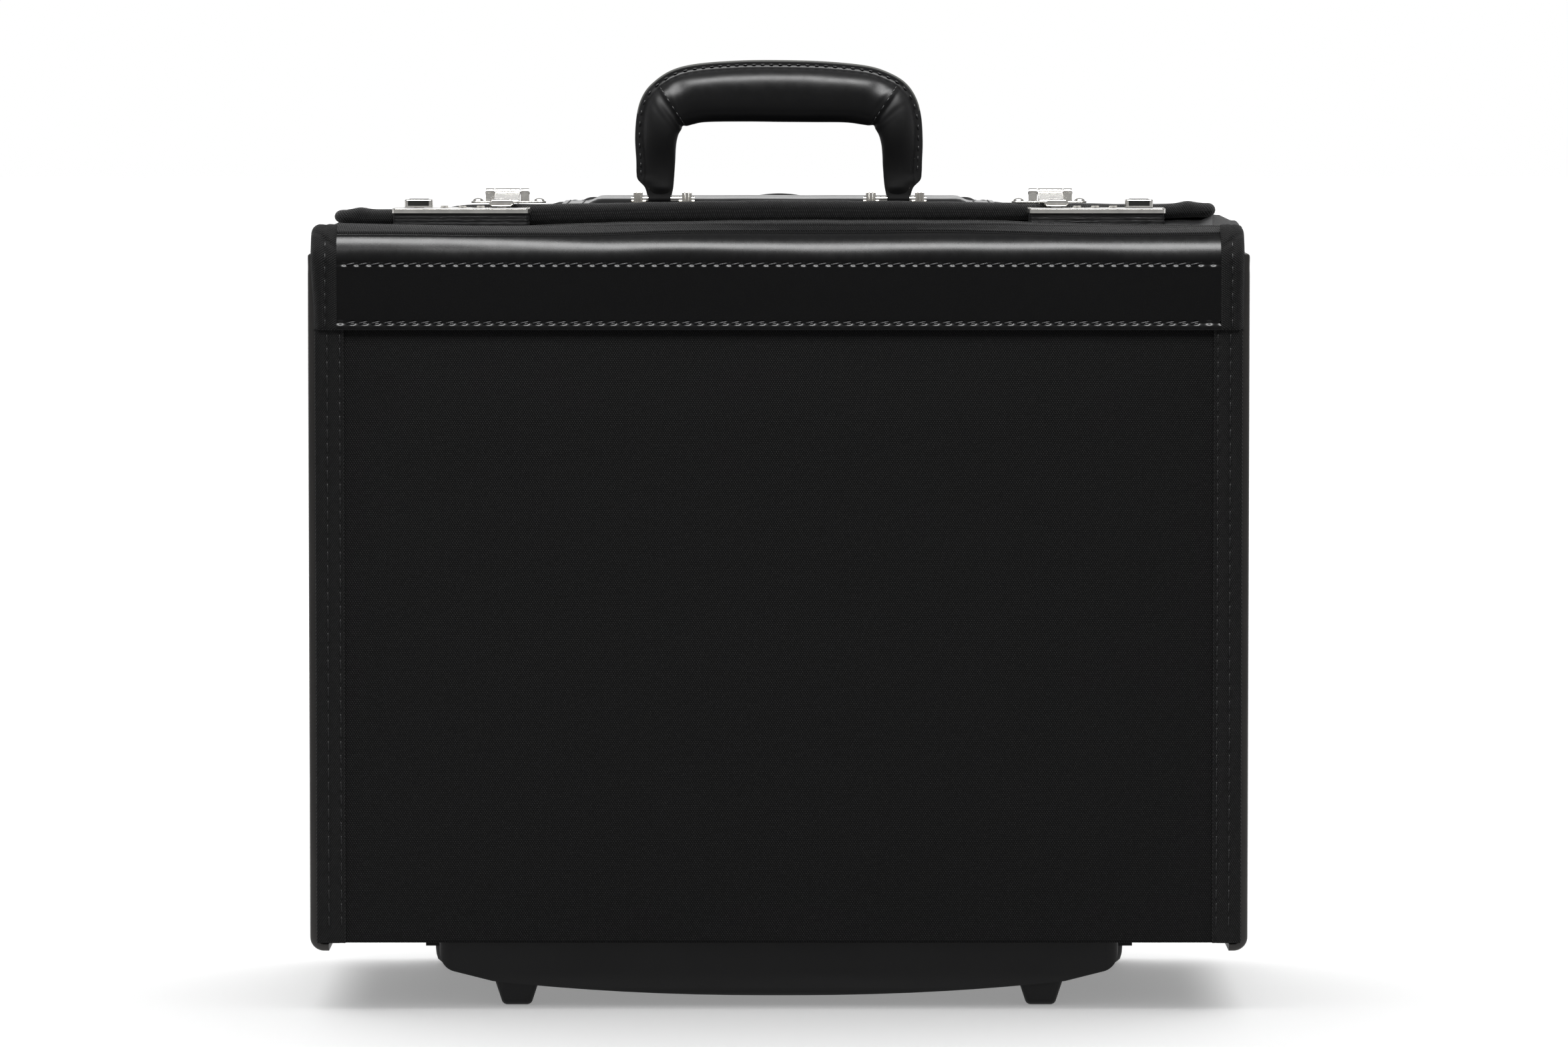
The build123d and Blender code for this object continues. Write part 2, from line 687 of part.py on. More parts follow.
def lock_plate():
    """The metal cap over a lock pad, with the spindle that its dials turn on."""
    cap_x = (LOCK_X[0] - CAP_RIM, LOCK_X[1] + CAP_RIM)
    cap_y = (LOCK_DEPTH[0] - CAP_RIM, LOCK_DEPTH[1] + CAP_RIM)
    plate = block(cap_x, cap_y, CAP_Z)
    plate = fillet(plate.edges().filter_by(Axis.Z), 2 + CAP_RIM)
    plate = fillet(plate.edges().group_by(Axis.Z)[-1], 0.4)
    plate -= fillet(block(LOCK_X, LOCK_DEPTH, LOCK_PAD_Z).edges().filter_by(Axis.Z), 2)
    above = (LOCK_PAD_Z[1] - 1, CAP_Z[1] + 1)
    for number in (1, 2, 3):
        low, high = dial_x(number)
        plate -= block((low - 0.35, high + 0.35), (DIAL_DEPTH - 4.4, DIAL_DEPTH + 4.4), above)
    plate -= block(HOOK_SLOT_X, HOOK_SLOT_DEPTH, above)
    plate -= block(STEM_SLOT_X, (STEM_DEPTH[0] - 0.2, STEM_DEPTH[1] + 0.2), above)
    for ear_x in SPINDLE_EARS_X:
        plate += block(ear_x, (DIAL_DEPTH - 2, DIAL_DEPTH + 2), (DIAL_Z - 2, LOCK_PAD_Z[1]))
    spindle_x = (SPINDLE_EARS_X[0][0], SPINDLE_EARS_X[1][1])
    return plate + rod(SPINDLE_RADIUS, spindle_x, DIAL_DEPTH, DIAL_Z)


def dial(number):
    x = dial_x(number)
    wheel = rod(DIAL_RADIUS, x, DIAL_DEPTH, DIAL_Z)
    groove = rod(DIAL_GROOVE_RADIUS, x, DIAL_DEPTH, DIAL_Z + DIAL_RADIUS)
    axis = Axis((0, DIAL_DEPTH, DIAL_Z), (1, 0, 0))
    for face in range(DIAL_FACES):
        wheel -= groove.rotate(axis, (face + 0.5) * 360 / DIAL_FACES)
    return wheel - rod(SPINDLE_RADIUS + SPINDLE_GAP, x, DIAL_DEPTH, DIAL_Z)


def slider():
    knob = block(SLIDER_X, SLIDER_DEPTH, SLIDER_Z)
    knob = fillet(knob.edges().filter_by(Axis.Z), 1.5)
    knob = fillet(knob.edges().group_by(Axis.Z)[-1], 0.8)
    stem = block(STEM_X, STEM_DEPTH, (STEM_FOOT_Z[0], SLIDER_Z[0]))
    foot = block(STEM_FOOT_X, (SLIDER_DEPTH[0] + 1, SLIDER_DEPTH[1] - 1), STEM_FOOT_Z)
    return knob + stem + foot


# ---------------------------------------------------------------- the hasps


def hasp_pin():
    return rod(HASP_PIN_RADIUS, HASP_PIN_X, KNUCKLE_DEPTH, KNUCKLE_Z)


def hasp_pins():
    return Compound([on_side(side, hasp_pin()) for side in SIDES.values()])


def hasp_bracket():
    plate_low = LID_BINDING_Z[1]
    plate_top = plate_low + HASP_PLATE
    bracket_plate = block(HASP_X, HASP_DEPTH, (plate_low, plate_top))
    bracket_plate = fillet(bracket_plate.edges().filter_by(Axis.Z), 2)
    rivet_y = (HASP_DEPTH[0] + HASP_DEPTH[1]) / 2
    for rivet_x in HASP_RIVETS_X:
        rivet = Cylinder(HASP_RIVET_RADIUS, HASP_RIVET_HEIGHT)
        rivet = fillet(rivet.edges().group_by(Axis.Z)[-1], 1.2)
        bracket_plate += Pos(rivet_x, rivet_y, plate_top + HASP_RIVET_HEIGHT / 2) * rivet
    ear_y = (KNUCKLE_DEPTH - KNUCKLE_RADIUS, KNUCKLE_DEPTH + KNUCKLE_RADIUS)
    for knuckle_x in BRACKET_KNUCKLES_X:
        bracket_plate += block(knuckle_x, ear_y, (plate_top, KNUCKLE_Z))
        bracket_plate += rod(KNUCKLE_RADIUS, knuckle_x, KNUCKLE_DEPTH, KNUCKLE_Z)
    return bracket_plate - hasp_pin()


def hasp_arm():
    """The hinged arm, with its thumb piece and the hook that drops into the lock."""
    tip_y = THUMB_DEPTH[1] - 2
    arm_profile = make_face(
        Polyline(
            (KNUCKLE_DEPTH, KNUCKLE_Z + KNUCKLE_RADIUS),
            (KNUCKLE_DEPTH, KNUCKLE_Z + KNUCKLE_RADIUS - ARM_THICKNESS),
            (tip_y, THUMB_Z[1] - ARM_THICKNESS),
            (tip_y, THUMB_Z[1]),
            close=True,
        )
    )
    arm = across(arm_profile, ARM_KNUCKLE_X)
    arm += rod(KNUCKLE_RADIUS, ARM_KNUCKLE_X, KNUCKLE_DEPTH, KNUCKLE_Z)
    thumb = block(THUMB_X, THUMB_DEPTH, THUMB_Z)
    thumb = chamfer(thumb.edges().filter_by(Axis.Y), 1.2)
    arm += thumb
    arm += block(HOOK_X, HOOK_DEPTH, (HOOK_LOW_Z, THUMB_Z[1] - ARM_THICKNESS))
    bore = rod(HASP_PIN_RADIUS + ROD_GAP, ARM_KNUCKLE_X, KNUCKLE_DEPTH, KNUCKLE_Z)
    return arm - bore


# ------------------------------------------------------- gathering and saving


def whole_case():
    """Every sub-part by its node name."""
    parts = {
        "front_panel": front_panel(),
        "back_panel": back_panel(),
        "bottom_board": bottom_board(),
        "file_divider": file_divider(),
        "front_leather_band": front_leather_band(),
        "front_leather_hinge": front_leather_hinge(),
        "rear_leather_hinge": rear_leather_hinge(),
        "corner_bindings": Compound([corner_binding(side) for side in SIDES.values()]),
        "edge_tapes": edge_tapes(),
        "base_tray": base_tray(),
        "wheel_axles": Compound([wheel_axle(side) for side in SIDES.values()]),
        "trolley_top_bracket": bracket(CASE_DEPTH + LEATHER, TOP_BRACKET_Z),
        "trolley_bottom_bracket": bracket(CASE_DEPTH, BOTTOM_BRACKET_Z),
        "trolley_grip": trolley_grip(),
        "trolley_button": trolley_button(),
        "lid_board": lid_board(),
        "lid_binding": lid_binding(),
        "lid_leather_panel": lid_leather_panel(),
        "handle_posts": handle_posts(),
        "handle_pins": handle_pins(),
        "handle_core": handle_core(),
        "handle_grip": handle_grip(),
        "flap_board": flap_board(),
        "flap_binding": flap_binding(),
        "lock_pads": lock_pads(),
        "hasp_pins": hasp_pins(),
    }
    for name, side in SIDES.items():
        parts[f"side_panel_{name}"] = side_panel(side)
        parts[f"side_bumper_{name}"] = side_bumper(side)
        parts[f"front_foot_{name}"] = front_foot(side)
        parts[f"wheel_housing_{name}"] = wheel_housing(side)
        parts[f"tyre_{name}"] = tyre(side)
        parts[f"hub_{name}"] = hub(side)
        parts[f"bearings_{name}"] = bearings(side)
        parts[f"trolley_outer_tube_{name}"] = tube(side, OUTER_TUBE, OUTER_TUBE_Z)
        parts[f"trolley_mid_tube_{name}"] = tube(side, MID_TUBE, MID_TUBE_Z)
        parts[f"trolley_inner_tube_{name}"] = tube(side, INNER_TUBE, INNER_TUBE_Z)
        parts[f"lock_plate_{name}"] = on_side(side, lock_plate())
        parts[f"lock_slider_{name}"] = on_side(side, slider())
        parts[f"hasp_bracket_{name}"] = on_side(side, hasp_bracket())
        parts[f"hasp_arm_{name}"] = on_side(side, hasp_arm())
        for number in (1, 2, 3):
            parts[f"dial_{name}_{number}"] = on_side(side, dial(number))
    return parts


os.makedirs("parts", exist_ok=True)
for node, solid in whole_case().items():
    export_step(Pos(0, -MIDDLE_DEPTH, 0) * solid, f"parts/{node}.step")
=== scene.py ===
import math
import random

import bmesh
import bpy
import numpy as np
from mathutils import Matrix, Vector


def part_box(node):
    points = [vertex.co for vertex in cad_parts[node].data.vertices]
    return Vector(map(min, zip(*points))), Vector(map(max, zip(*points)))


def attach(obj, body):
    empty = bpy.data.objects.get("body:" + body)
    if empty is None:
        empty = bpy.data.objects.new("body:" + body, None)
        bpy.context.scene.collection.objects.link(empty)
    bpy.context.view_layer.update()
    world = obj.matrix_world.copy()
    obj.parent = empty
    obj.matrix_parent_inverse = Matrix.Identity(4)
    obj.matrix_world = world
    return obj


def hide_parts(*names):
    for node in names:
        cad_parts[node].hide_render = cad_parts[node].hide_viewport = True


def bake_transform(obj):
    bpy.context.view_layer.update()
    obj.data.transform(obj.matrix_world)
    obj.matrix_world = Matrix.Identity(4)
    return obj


# The looks of a black wheeled catalog case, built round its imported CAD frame.
#
# Shapes are worked out in millimetres as (x, depth, z): x to the right seen from the front, depth
# measured back from the front panel's outer face, z up from the floor. to_frame() turns them into
# the frame's metres.

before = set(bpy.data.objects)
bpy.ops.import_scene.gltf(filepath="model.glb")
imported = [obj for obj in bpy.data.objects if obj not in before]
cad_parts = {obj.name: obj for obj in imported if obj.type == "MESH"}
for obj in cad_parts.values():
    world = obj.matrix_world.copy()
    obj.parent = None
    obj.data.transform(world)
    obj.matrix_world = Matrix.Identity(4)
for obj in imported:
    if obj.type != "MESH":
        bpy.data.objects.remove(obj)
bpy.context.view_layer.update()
MM = 0.001
SIDES = {"left": -1, "right": 1}
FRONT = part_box("front_panel")[0].y / MM


def limits(node):
    """A CAD node's lowest and highest corners as (x, depth, z) in millimetres."""
    return [np.array(corner) / MM - (0, FRONT, 0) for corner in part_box(node)]


def to_frame(points):
    """Rows of (x, depth, z) in millimetres as the frame's metres."""
    moved = np.array(points, float).reshape(-1, 3)
    return (moved + (0, FRONT, 0)) * MM


# ==================================================================== materials


class Shader:
    """A new material with its Principled shader, and short ways to add and link nodes."""

    def __init__(self, name, colour, roughness, **settings):
        self.material = bpy.data.materials.new(name)
        self.material.use_nodes = True
        self.tree = self.material.node_tree
        self.bsdf = self.tree.nodes["Principled BSDF"]
        self.bsdf.inputs["Base Color"].default_value = (*colour, 1)
        self.bsdf.inputs["Roughness"].default_value = roughness
        for socket, value in settings.items():
            self.bsdf.inputs[socket.replace("_", " ")].default_value = value

    def node(self, kind, **settings):
        node = self.tree.nodes.new(kind)
        for name, value in settings.items():
            setattr(node, name, value)
        return node

    def link(self, source, target):
        self.tree.links.new(source, target)

    def put(self, value, socket):
        """Links a socket, or sets a constant, on another socket."""
        if isinstance(value, bpy.types.NodeSocket):
            self.link(value, socket)
        else:
            socket.default_value = value

    def math(self, operation, first, second=0.0, third=0.0):
        node = self.node("ShaderNodeMath", operation=operation)
        for value, socket in zip((first, second, third), node.inputs):
            self.put(value, socket)
        return node.outputs[0]

    def surface(self):
        """The piece's own surface coordinates, in millimetres along and across it."""
        split = self.node("ShaderNodeSeparateXYZ")
        self.link(self.node("ShaderNodeUVMap", uv_map="surface").outputs[0], split.inputs[0])
        return split.outputs[0], split.outputs[1]

    def place(self, stretch=(1, 1, 1)):
        """Object coordinates in millimetres, optionally squeezed along an axis."""
        mapping = self.node("ShaderNodeMapping")
        self.link(self.node("ShaderNodeTexCoord").outputs["Object"], mapping.inputs["Vector"])
        mapping.inputs["Scale"].default_value = [1 / (MM * amount) for amount in stretch]
        return mapping.outputs[0]

    def noise(self, vector, size, detail, roughness=0.5):
        """Noise whose blotches are about size millimetres across, from 0 to 1."""
        node = self.node("ShaderNodeTexNoise")
        self.link(vector, node.inputs["Vector"])
        node.inputs["Scale"].default_value = 1 / size
        node.inputs["Detail"].default_value = detail
        node.inputs["Roughness"].default_value = roughness
        return node.outputs[0]

    def cells(self, vector, size):
        """Distance to the nearest cell border of a Voronoi pattern."""
        node = self.node("ShaderNodeTexVoronoi", feature="DISTANCE_TO_EDGE")
        self.link(vector, node.inputs["Vector"])
        node.inputs["Scale"].default_value = 1 / size
        return node.outputs[0]

    def ramp(self, value, low, high, first, second):
        """A value remapped smoothly from low..high to first..second."""
        node = self.node("ShaderNodeMapRange", interpolation_type="SMOOTHSTEP")
        for name, number in zip(("Value", "From Min", "From Max", "To Min", "To Max"),
                                (value, low, high, first, second)):
            self.put(number, node.inputs[name])
        return node.outputs[0]

    def blend(self, share, first, second):
        """A colour between two colours."""
        node = self.node("ShaderNodeMix", data_type="RGBA")
        self.put(share, node.inputs[0])
        for socket, colour in ((node.inputs[6], first), (node.inputs[7], second)):
            socket.default_value = (*colour, 1)
        return node.outputs[2]

    def paint(self, share, first, second):
        self.link(self.blend(share, first, second), self.bsdf.inputs["Base Color"])

    def mottle(self, value, low, high, colour, factor):
        """A colour that drifts, with a pattern, to factor times itself."""
        self.paint(self.ramp(value, low, high, 0, 1), colour, [channel * factor for channel in colour])

    def finish(self, value, low, high, first, second):
        """Roughness that follows a pattern."""
        self.link(self.ramp(value, low, high, first, second), self.bsdf.inputs["Roughness"])

    def relief(self, *layers):
        """Bumps, each given as (height, depth in millimetres, strength)."""
        below = None
        for height, depth, strength in layers:
            bump = self.node("ShaderNodeBump")
            bump.inputs["Distance"].default_value = depth * MM
            bump.inputs["Strength"].default_value = strength
            self.put(height, bump.inputs["Height"])
            if below is not None:
                self.link(below, bump.inputs["Normal"])
            below = bump.outputs[0]
        self.link(below, self.bsdf.inputs["Normal"])


def woven(name, dark, light, cell, depth, roughness, lean=0.0, sheen=0.0):
    """Basket-woven cloth: rounded bumps in slightly wandering rows.

    Each row's bumps lie half a cell beyond the last one's. cell is a bump's length and a row's
    width in millimetres, and lean tips the bumps along their row."""
    shader = Shader(name, light, roughness, Specular_IOR_Level=0.1, Sheen_Weight=sheen)
    math_node = shader.math

    def wander(value, size, reach):
        drift = shader.ramp(shader.noise(shader.place(), size, 2), 0.2, 0.8, -reach, reach)
        return math_node("ADD", value, drift)

    along, across = shader.surface()
    across = wander(across, 9, 0.12)
    along = wander(along, 11, 0.15)
    row = math_node("DIVIDE", across, cell[1])
    column = math_node("DIVIDE", along, cell[0])
    leaning = math_node("MULTIPLY", math_node("SUBTRACT", math_node("FRACT", row), 0.5), lean)
    in_row = math_node("SINE", math_node("MULTIPLY", row, math.pi))
    turns = math_node("MULTIPLY", math_node("ADD", column, leaning), 2 * math.pi)
    in_column = math_node("COSINE", turns)
    lattice = math_node("MULTIPLY_ADD", math_node("MULTIPLY", in_row, in_column), 0.5, 0.5)
    bump = math_node("POWER", lattice, 2.1)
    place = shader.place()
    uneven = shader.noise(place, cell[0] * 1.7, 2)
    worn = shader.noise(place, 45, 3)
    # Colour follows the bumps' height: their tops take the light colour and the gaps between them the
    # dark one, a painted highlight and painted shade; the worn noise adds a slow random tone.
    height = math_node("MULTIPLY", bump, shader.ramp(uneven, 0.3, 0.7, 0.7, 1.15))
    shade = math_node("MULTIPLY", height, shader.ramp(worn, 0.35, 0.7, 0.85, 1.0))
    shader.paint(shade, dark, light)
    shader.finish(bump, 0, 1, min(1, roughness + 0.15), roughness - 0.08)
    shader.relief((worn, 1.2, 0.25), (height, depth, 0.9))
    return shader.material


def smooth_leather(name, colour, roughness, grain=0.5, wave=0.35):
    """Satin leather with fine pores, soft unevenness and slightly duller patches."""
    shader = Shader(name, colour, roughness, Specular_IOR_Level=0.22)
    place = shader.place()
    pores = shader.cells(place, 0.55)
    folds = shader.noise(place, 5, 3, 0.6)
    patches = shader.noise(shader.place((3, 1, 1)), 28, 1)
    shader.mottle(patches, 0.35, 0.7, colour, 1.25)
    shader.finish(folds, 0.3, 0.7, roughness - 0.08 * grain, roughness + 0.12 * grain)
    pits = shader.ramp(pores, 0, 0.2, 0, 1)
    shader.relief((patches, 1.0, wave), (folds, 0.12, grain), (pits, 0.02, grain))
    return shader.material


def streaked_leather(name, colour):
    """The stacked, polished leather round the locks, with fine lengthwise streaks."""
    shader = Shader(name, colour, 0.42, Specular_IOR_Level=0.3)
    lines = shader.noise(shader.place((14, 14, 0.55)), 1, 4, 0.7)
    scuffs = shader.noise(shader.place((5, 5, 0.3)), 1, 2)
    shader.mottle(lines, 0.5, 0.75, colour, 4.5)
    shader.finish(scuffs, 0.35, 0.65, 0.3, 0.62)
    shader.relief((lines, 0.25, 0.8))
    return shader.material


def moulded(name, colour, roughness, texture=0.35, grain=0.45):
    """Spark-textured moulded plastic or vinyl."""
    shader = Shader(name, colour, roughness, Specular_IOR_Level=0.25)
    place = shader.place()
    pits = shader.noise(place, texture, 2, 0.6)
    patches = shader.noise(place, 40, 3)
    shader.mottle(patches, 0.3, 0.75, colour, 1.45)
    shader.finish(patches, 0.3, 0.7, roughness - 0.06, roughness + 0.08)
    shader.relief((patches, 0.8, 0.15), (pits, 0.05, grain))
    return shader.material


def embossed_vinyl(name, colour, roughness):
    """Smooth vinyl with a fine pressed pebble grain."""
    shader = Shader(name, colour, roughness, Specular_IOR_Level=0.45)
    place = shader.place()
    pebbles = shader.cells(place, 1.1)
    patches = shader.noise(place, 60, 2)
    shader.mottle(patches, 0.35, 0.7, colour, 1.5)
    shader.finish(pebbles, 0, 0.35, roughness + 0.12, roughness - 0.04)
    shader.relief((patches, 2.0, 0.2), (shader.ramp(pebbles, 0, 0.3, 0, 1), 0.035, 0.6))
    return shader.material


def plated(name, colour, roughness, brushed=False):
    """Bright plating with faint waviness and hairline scratches; brushed adds a vertical lay."""
    shader = Shader(name, colour, roughness, Metallic=1.0)
    lay = (0.12, 0.12, 9) if brushed else (9, 9, 0.25)
    scratches = shader.noise(shader.place(lay), 0.8, 3, 0.7)
    film = shader.noise(shader.place(), 6, 3)
    shader.mottle(film, 0.3, 0.75, colour, 0.82)
    spread = 0.16 if brushed else 0.07
    shader.finish(scratches, 0.35, 0.7, roughness, roughness + spread)
    shader.relief((film, 0.25, 0.12), (scratches, 0.02, 0.5 if brushed else 0.2))
    return shader.material


def thread(name, colour):
    """Waxed sewing thread with a fine twist."""
    shader = Shader(name, colour, 0.45)
    twist = shader.noise(shader.place(), 0.35, 1)
    shader.paint(shader.ramp(twist, 0.35, 0.65, 0, 1), [channel * 0.6 for channel in colour], colour)
    shader.relief((twist, 0.12, 0.8))
    return shader.material


BLACK = (0.0015, 0.0015, 0.0016)
NYLON = woven("ballistic_nylon", BLACK, (0.0105, 0.0105, 0.0113), (1.2, 0.95), 0.34, 0.55, 0.35)
TAPE = woven("binding_tape", BLACK, (0.0145, 0.0145, 0.0153), (1.1, 0.9), 0.36, 0.55, 0.5, 0.14)
# A lighter, higher-contrast copy of the binding tape for the tape along the flap, the lid and the top
# of the front roll: painted highlight where the overhead light falls on it.
TAPE_PAINTED_HIGHLIGHT = woven(
    "binding_tape_painted_highlight", (0.001, 0.001, 0.0011), (0.085, 0.085, 0.088), (1.1, 0.9), 0.42, 0.55, 0.5, 0.3,
)
LINING = woven("lining_cloth", (0.02, 0.02, 0.021), (0.055, 0.055, 0.058), (0.6, 0.6), 0.1, 0.75)
LEATHER_SKIN = smooth_leather("smooth_leather", (0.0028, 0.0028, 0.0032), 0.27, 0.13, 0.05)
FLAP_LEATHER = smooth_leather("flap_leather", (0.02, 0.02, 0.021), 0.3)
PANEL_LEATHER = smooth_leather("panel_leather", (0.004, 0.004, 0.0045), 0.2, 0.2, 0.25)
HANDLE_LEATHER = smooth_leather("handle_leather", (0.0085, 0.0085, 0.0093), 0.36, 0.25, 0.25)
# Pale edge leather for the top of the handle's sewn edge: partly the raw cut edge's own colour, partly
# a painted highlight where light falls on the top.
CUT_EDGE_AND_HIGHLIGHT = smooth_leather("leather_cut_edge_and_painted_highlight", (0.17, 0.173, 0.158), 0.6, 0.4, 0.2)
LEG_LEATHER = smooth_leather("handle_leg_leather", (0.0095, 0.0095, 0.0104), 0.55, 0.25, 0.2)
PAD_LEATHER = streaked_leather("lock_pad_leather", (0.008, 0.008, 0.009))
VINYL = embossed_vinyl("bumper_vinyl", (0.021, 0.019, 0.0175), 0.33)
PLASTIC = moulded("moulded_plastic", (0.006, 0.006, 0.0063), 0.52)
FOOT_PLASTIC = moulded("foot_plastic", (0.006, 0.006, 0.0063), 0.45, 0.6)
RUBBER = moulded("tyre_urethane", (0.012, 0.012, 0.0125), 0.62, 0.8)
TUBE_METAL = plated("anodised_tube", (0.045, 0.045, 0.048), 0.3, True)
CHROME = plated("bright_nickel", (0.8, 0.785, 0.75), 0.16)
NICKEL = plated("brushed_nickel", (0.62, 0.6, 0.56), 0.26, True)
STEEL = plated("plain_steel", (0.52, 0.52, 0.53), 0.28)
INSET = moulded("knob_inset", (0.012, 0.013, 0.012), 0.3, 0.4, 0.3)
# Dark colour for the dial numbers' print, also used on the screw heads as painted shade for their cross
# recesses.
PRINT_AND_SHADE = moulded("dial_print_and_recess_shade", (0.02, 0.02, 0.02), 0.5)
LEATHER_THREAD = thread("leather_thread", (0.015, 0.015, 0.019))
DARK_THREAD = thread("dark_thread", (0.009, 0.009, 0.011))


# =================================================================== mesh tools


def new_piece(name, points, faces, uvs, material):
    """A smooth-shaded mesh object; uvs holds one pair in millimetres for each face corner."""
    mesh = bpy.data.meshes.new(name)
    mesh.from_pydata(to_frame(points).tolist(), [], [tuple(face) for face in faces])
    mesh.uv_layers.new(name="surface").data.foreach_set("uv", np.array(uvs, np.float32).ravel())
    mesh.polygons.foreach_set("use_smooth", [True] * len(mesh.polygons))
    mesh.materials.append(material)
    piece = bpy.data.objects.new(name, mesh)
    bpy.context.scene.collection.objects.link(piece)
    return piece


def travelled(rows, axis):
    """Mean distance travelled along an array of points, as a running total."""
    steps = np.linalg.norm(np.diff(rows, axis=axis), axis=2)
    return np.concatenate(([0.0], np.cumsum(steps.mean(axis=1 - axis))))


def loft(name, rows, material):
    """A closed skin over rows of points: each row joins up with itself, and both ends are filled."""
    rows = np.array(rows, float)
    count, width = rows.shape[:2]
    ring = np.concatenate((rows, rows[:, :1]), axis=1)
    along = travelled(ring, 0)
    across = travelled(ring, 1)
    faces, uvs = [], []
    for i in range(count - 1):
        here, after = i * width, (i + 1) * width
        for j in range(width):
            k = (j + 1) % width
            faces.append((here + j, after + j, after + k, here + k))
            uvs += [(along[i], across[j]), (along[i + 1], across[j])]
            uvs += [(along[i + 1], across[j + 1]), (along[i], across[j + 1])]
    faces.append(tuple(range(width)))
    faces.append(tuple(range(count * width - 1, (count - 1) * width - 1, -1)))
    flat = rows[0] - rows[0].mean(0)
    for end in (flat, flat[::-1]):
        uvs += [(a + b, c) for a, b, c in end]
    piece = new_piece(name, rows.reshape(-1, 3), faces, uvs, material)
    edit(piece, turn_outward)
    return piece


def edit(piece, *changes):
    """Runs changes, in order, on a piece's mesh opened as a bmesh."""
    shape = bmesh.new()
    shape.from_mesh(piece.data)
    for change in changes:
        change(shape)
    shape.to_mesh(piece.data)
    shape.free()


def turn_outward(shape):
    bmesh.ops.recalc_face_normals(shape, faces=shape.faces)


def others(axis):
    """The two axes beside this one, in order."""
    return [other for other in range(3) if other != axis]


def project_uv(piece):
    """Surface coordinates from the two axes that each face looks along least."""
    layer = piece.data.uv_layers["surface"].data
    for polygon in piece.data.polygons:
        normal = [abs(part) for part in polygon.normal]
        first, second = others(normal.index(max(normal)))
        for loop in polygon.loop_indices:
            point = piece.data.vertices[piece.data.loops[loop].vertex_index].co
            layer[loop].uv = (point[first] / MM, point[second] / MM)


HARD_EDGE = math.radians(25)


def prism(name, outline, axis, span, material, bevel, segments=2):
    """An outline extruded along an axis, with rounded edges.

    The outline is given in the other two axes, in x, depth, z order."""
    first, second = others(axis)
    points = []
    for end in span:
        for a, b in outline:
            point = [0, 0, 0]
            point[first], point[second], point[axis] = a, b, end
            points.append(point)
    count = len(outline)
    faces = [tuple(range(count)), tuple(range(2 * count - 1, count - 1, -1))]
    for j in range(count):
        k = (j + 1) % count
        faces.append((j, j + count, k + count, k))
    uvs = [(0, 0)] * sum(len(face) for face in faces)
    piece = new_piece(name, points, faces, uvs, material)
    return rounded(piece, bevel, segments)


def rounded(piece, bevel, segments):
    """Rounds a piece's hard edges and keeps its flat faces flat in the light."""

    def round_edges(shape):
        edges = [edge for edge in shape.edges if edge.calc_face_angle(0) > HARD_EDGE]
        if bevel:
            bmesh.ops.bevel(shape, geom=edges, offset=bevel * MM, segments=segments, profile=0.5,
                            affect="EDGES", clamp_overlap=True)

    edit(piece, turn_outward, round_edges)
    piece.data.polygons.foreach_set("use_smooth", [True] * len(piece.data.polygons))
    project_uv(piece)
    weighted = piece.modifiers.new("even_light", "WEIGHTED_NORMAL")
    weighted.keep_sharp = True
    return piece


def box(name, low, high, material, bevel=0.5):
    """A box with rounded edges between two (x, depth, z) corners."""
    outline = [(low[0], low[1]), (high[0], low[1]), (high[0], high[1]), (low[0], high[1])]
    return prism(name, outline, 2, (low[2], high[2]), material, bevel)


def turned(name, profile, centre, axis, material, steps):
    """A profile of (distance along, radius) turned about an axis through centre."""
    first, second = others(axis)
    rows = []
    for angle in np.linspace(0, 2 * math.pi, steps, endpoint=False):
        row = []
        for along, radius in profile:
            point = np.array(centre, float)
            point[axis] += along
            point[first] += radius * math.cos(angle)
            point[second] += radius * math.sin(angle)
            row.append(point)
        rows.append(row)
    rows = np.array(rows)
    count, width = rows.shape[:2]
    faces, uvs = [], []
    for i in range(count):
        for j in range(width - 1):
            k = (i + 1) % count
            faces.append((i * width + j, i * width + j + 1, k * width + j + 1, k * width + j))
            uvs += [(i, j), (i, j + 1), (i + 1, j + 1), (i + 1, j)]
    piece = new_piece(name, rows.reshape(-1, 3), faces, uvs, material)
    edit(piece, weld, turn_outward)
    piece.data.set_sharp_from_angle(angle=math.radians(38))
    return piece


def weld(shape):
    """Joins the vertices that fall together on a turned piece's axis."""
    bmesh.ops.remove_doubles(shape, verts=shape.verts, dist=0.001 * MM)


def disc_profile(half_length, radius):
    """The profile of a solid round bar with softened ends."""
    edge = 0.3
    half = [
        (-half_length, 0.0),
        (-half_length, radius - edge),
        (-half_length + edge * 0.3, radius - edge * 0.3),
        (-half_length + edge, radius),
    ]
    return half + mirrored_end(half)


def mirrored_end(half):
    """The other end of a profile that is the same both ways."""
    return [(-along, radius) for along, radius in half[::-1]]


def joined(name, pieces):
    """Several pieces made one; the first one's name is replaced."""
    for piece in pieces:
        bake_modifiers(piece)
    with bpy.context.temp_override(active_object=pieces[0], selected_editable_objects=pieces):
        bpy.ops.object.join()
    pieces[0].name = name
    pieces[0].data.name = name
    return pieces[0]


def bake_modifiers(piece):
    """Applies a piece's modifiers to its mesh."""
    if not piece.modifiers:
        return piece
    view = bpy.context.evaluated_depsgraph_get()
    mesh = bpy.data.meshes.new_from_object(piece.evaluated_get(view))
    old = piece.data
    piece.modifiers.clear()
    piece.data = mesh
    bpy.data.meshes.remove(old)
    return piece


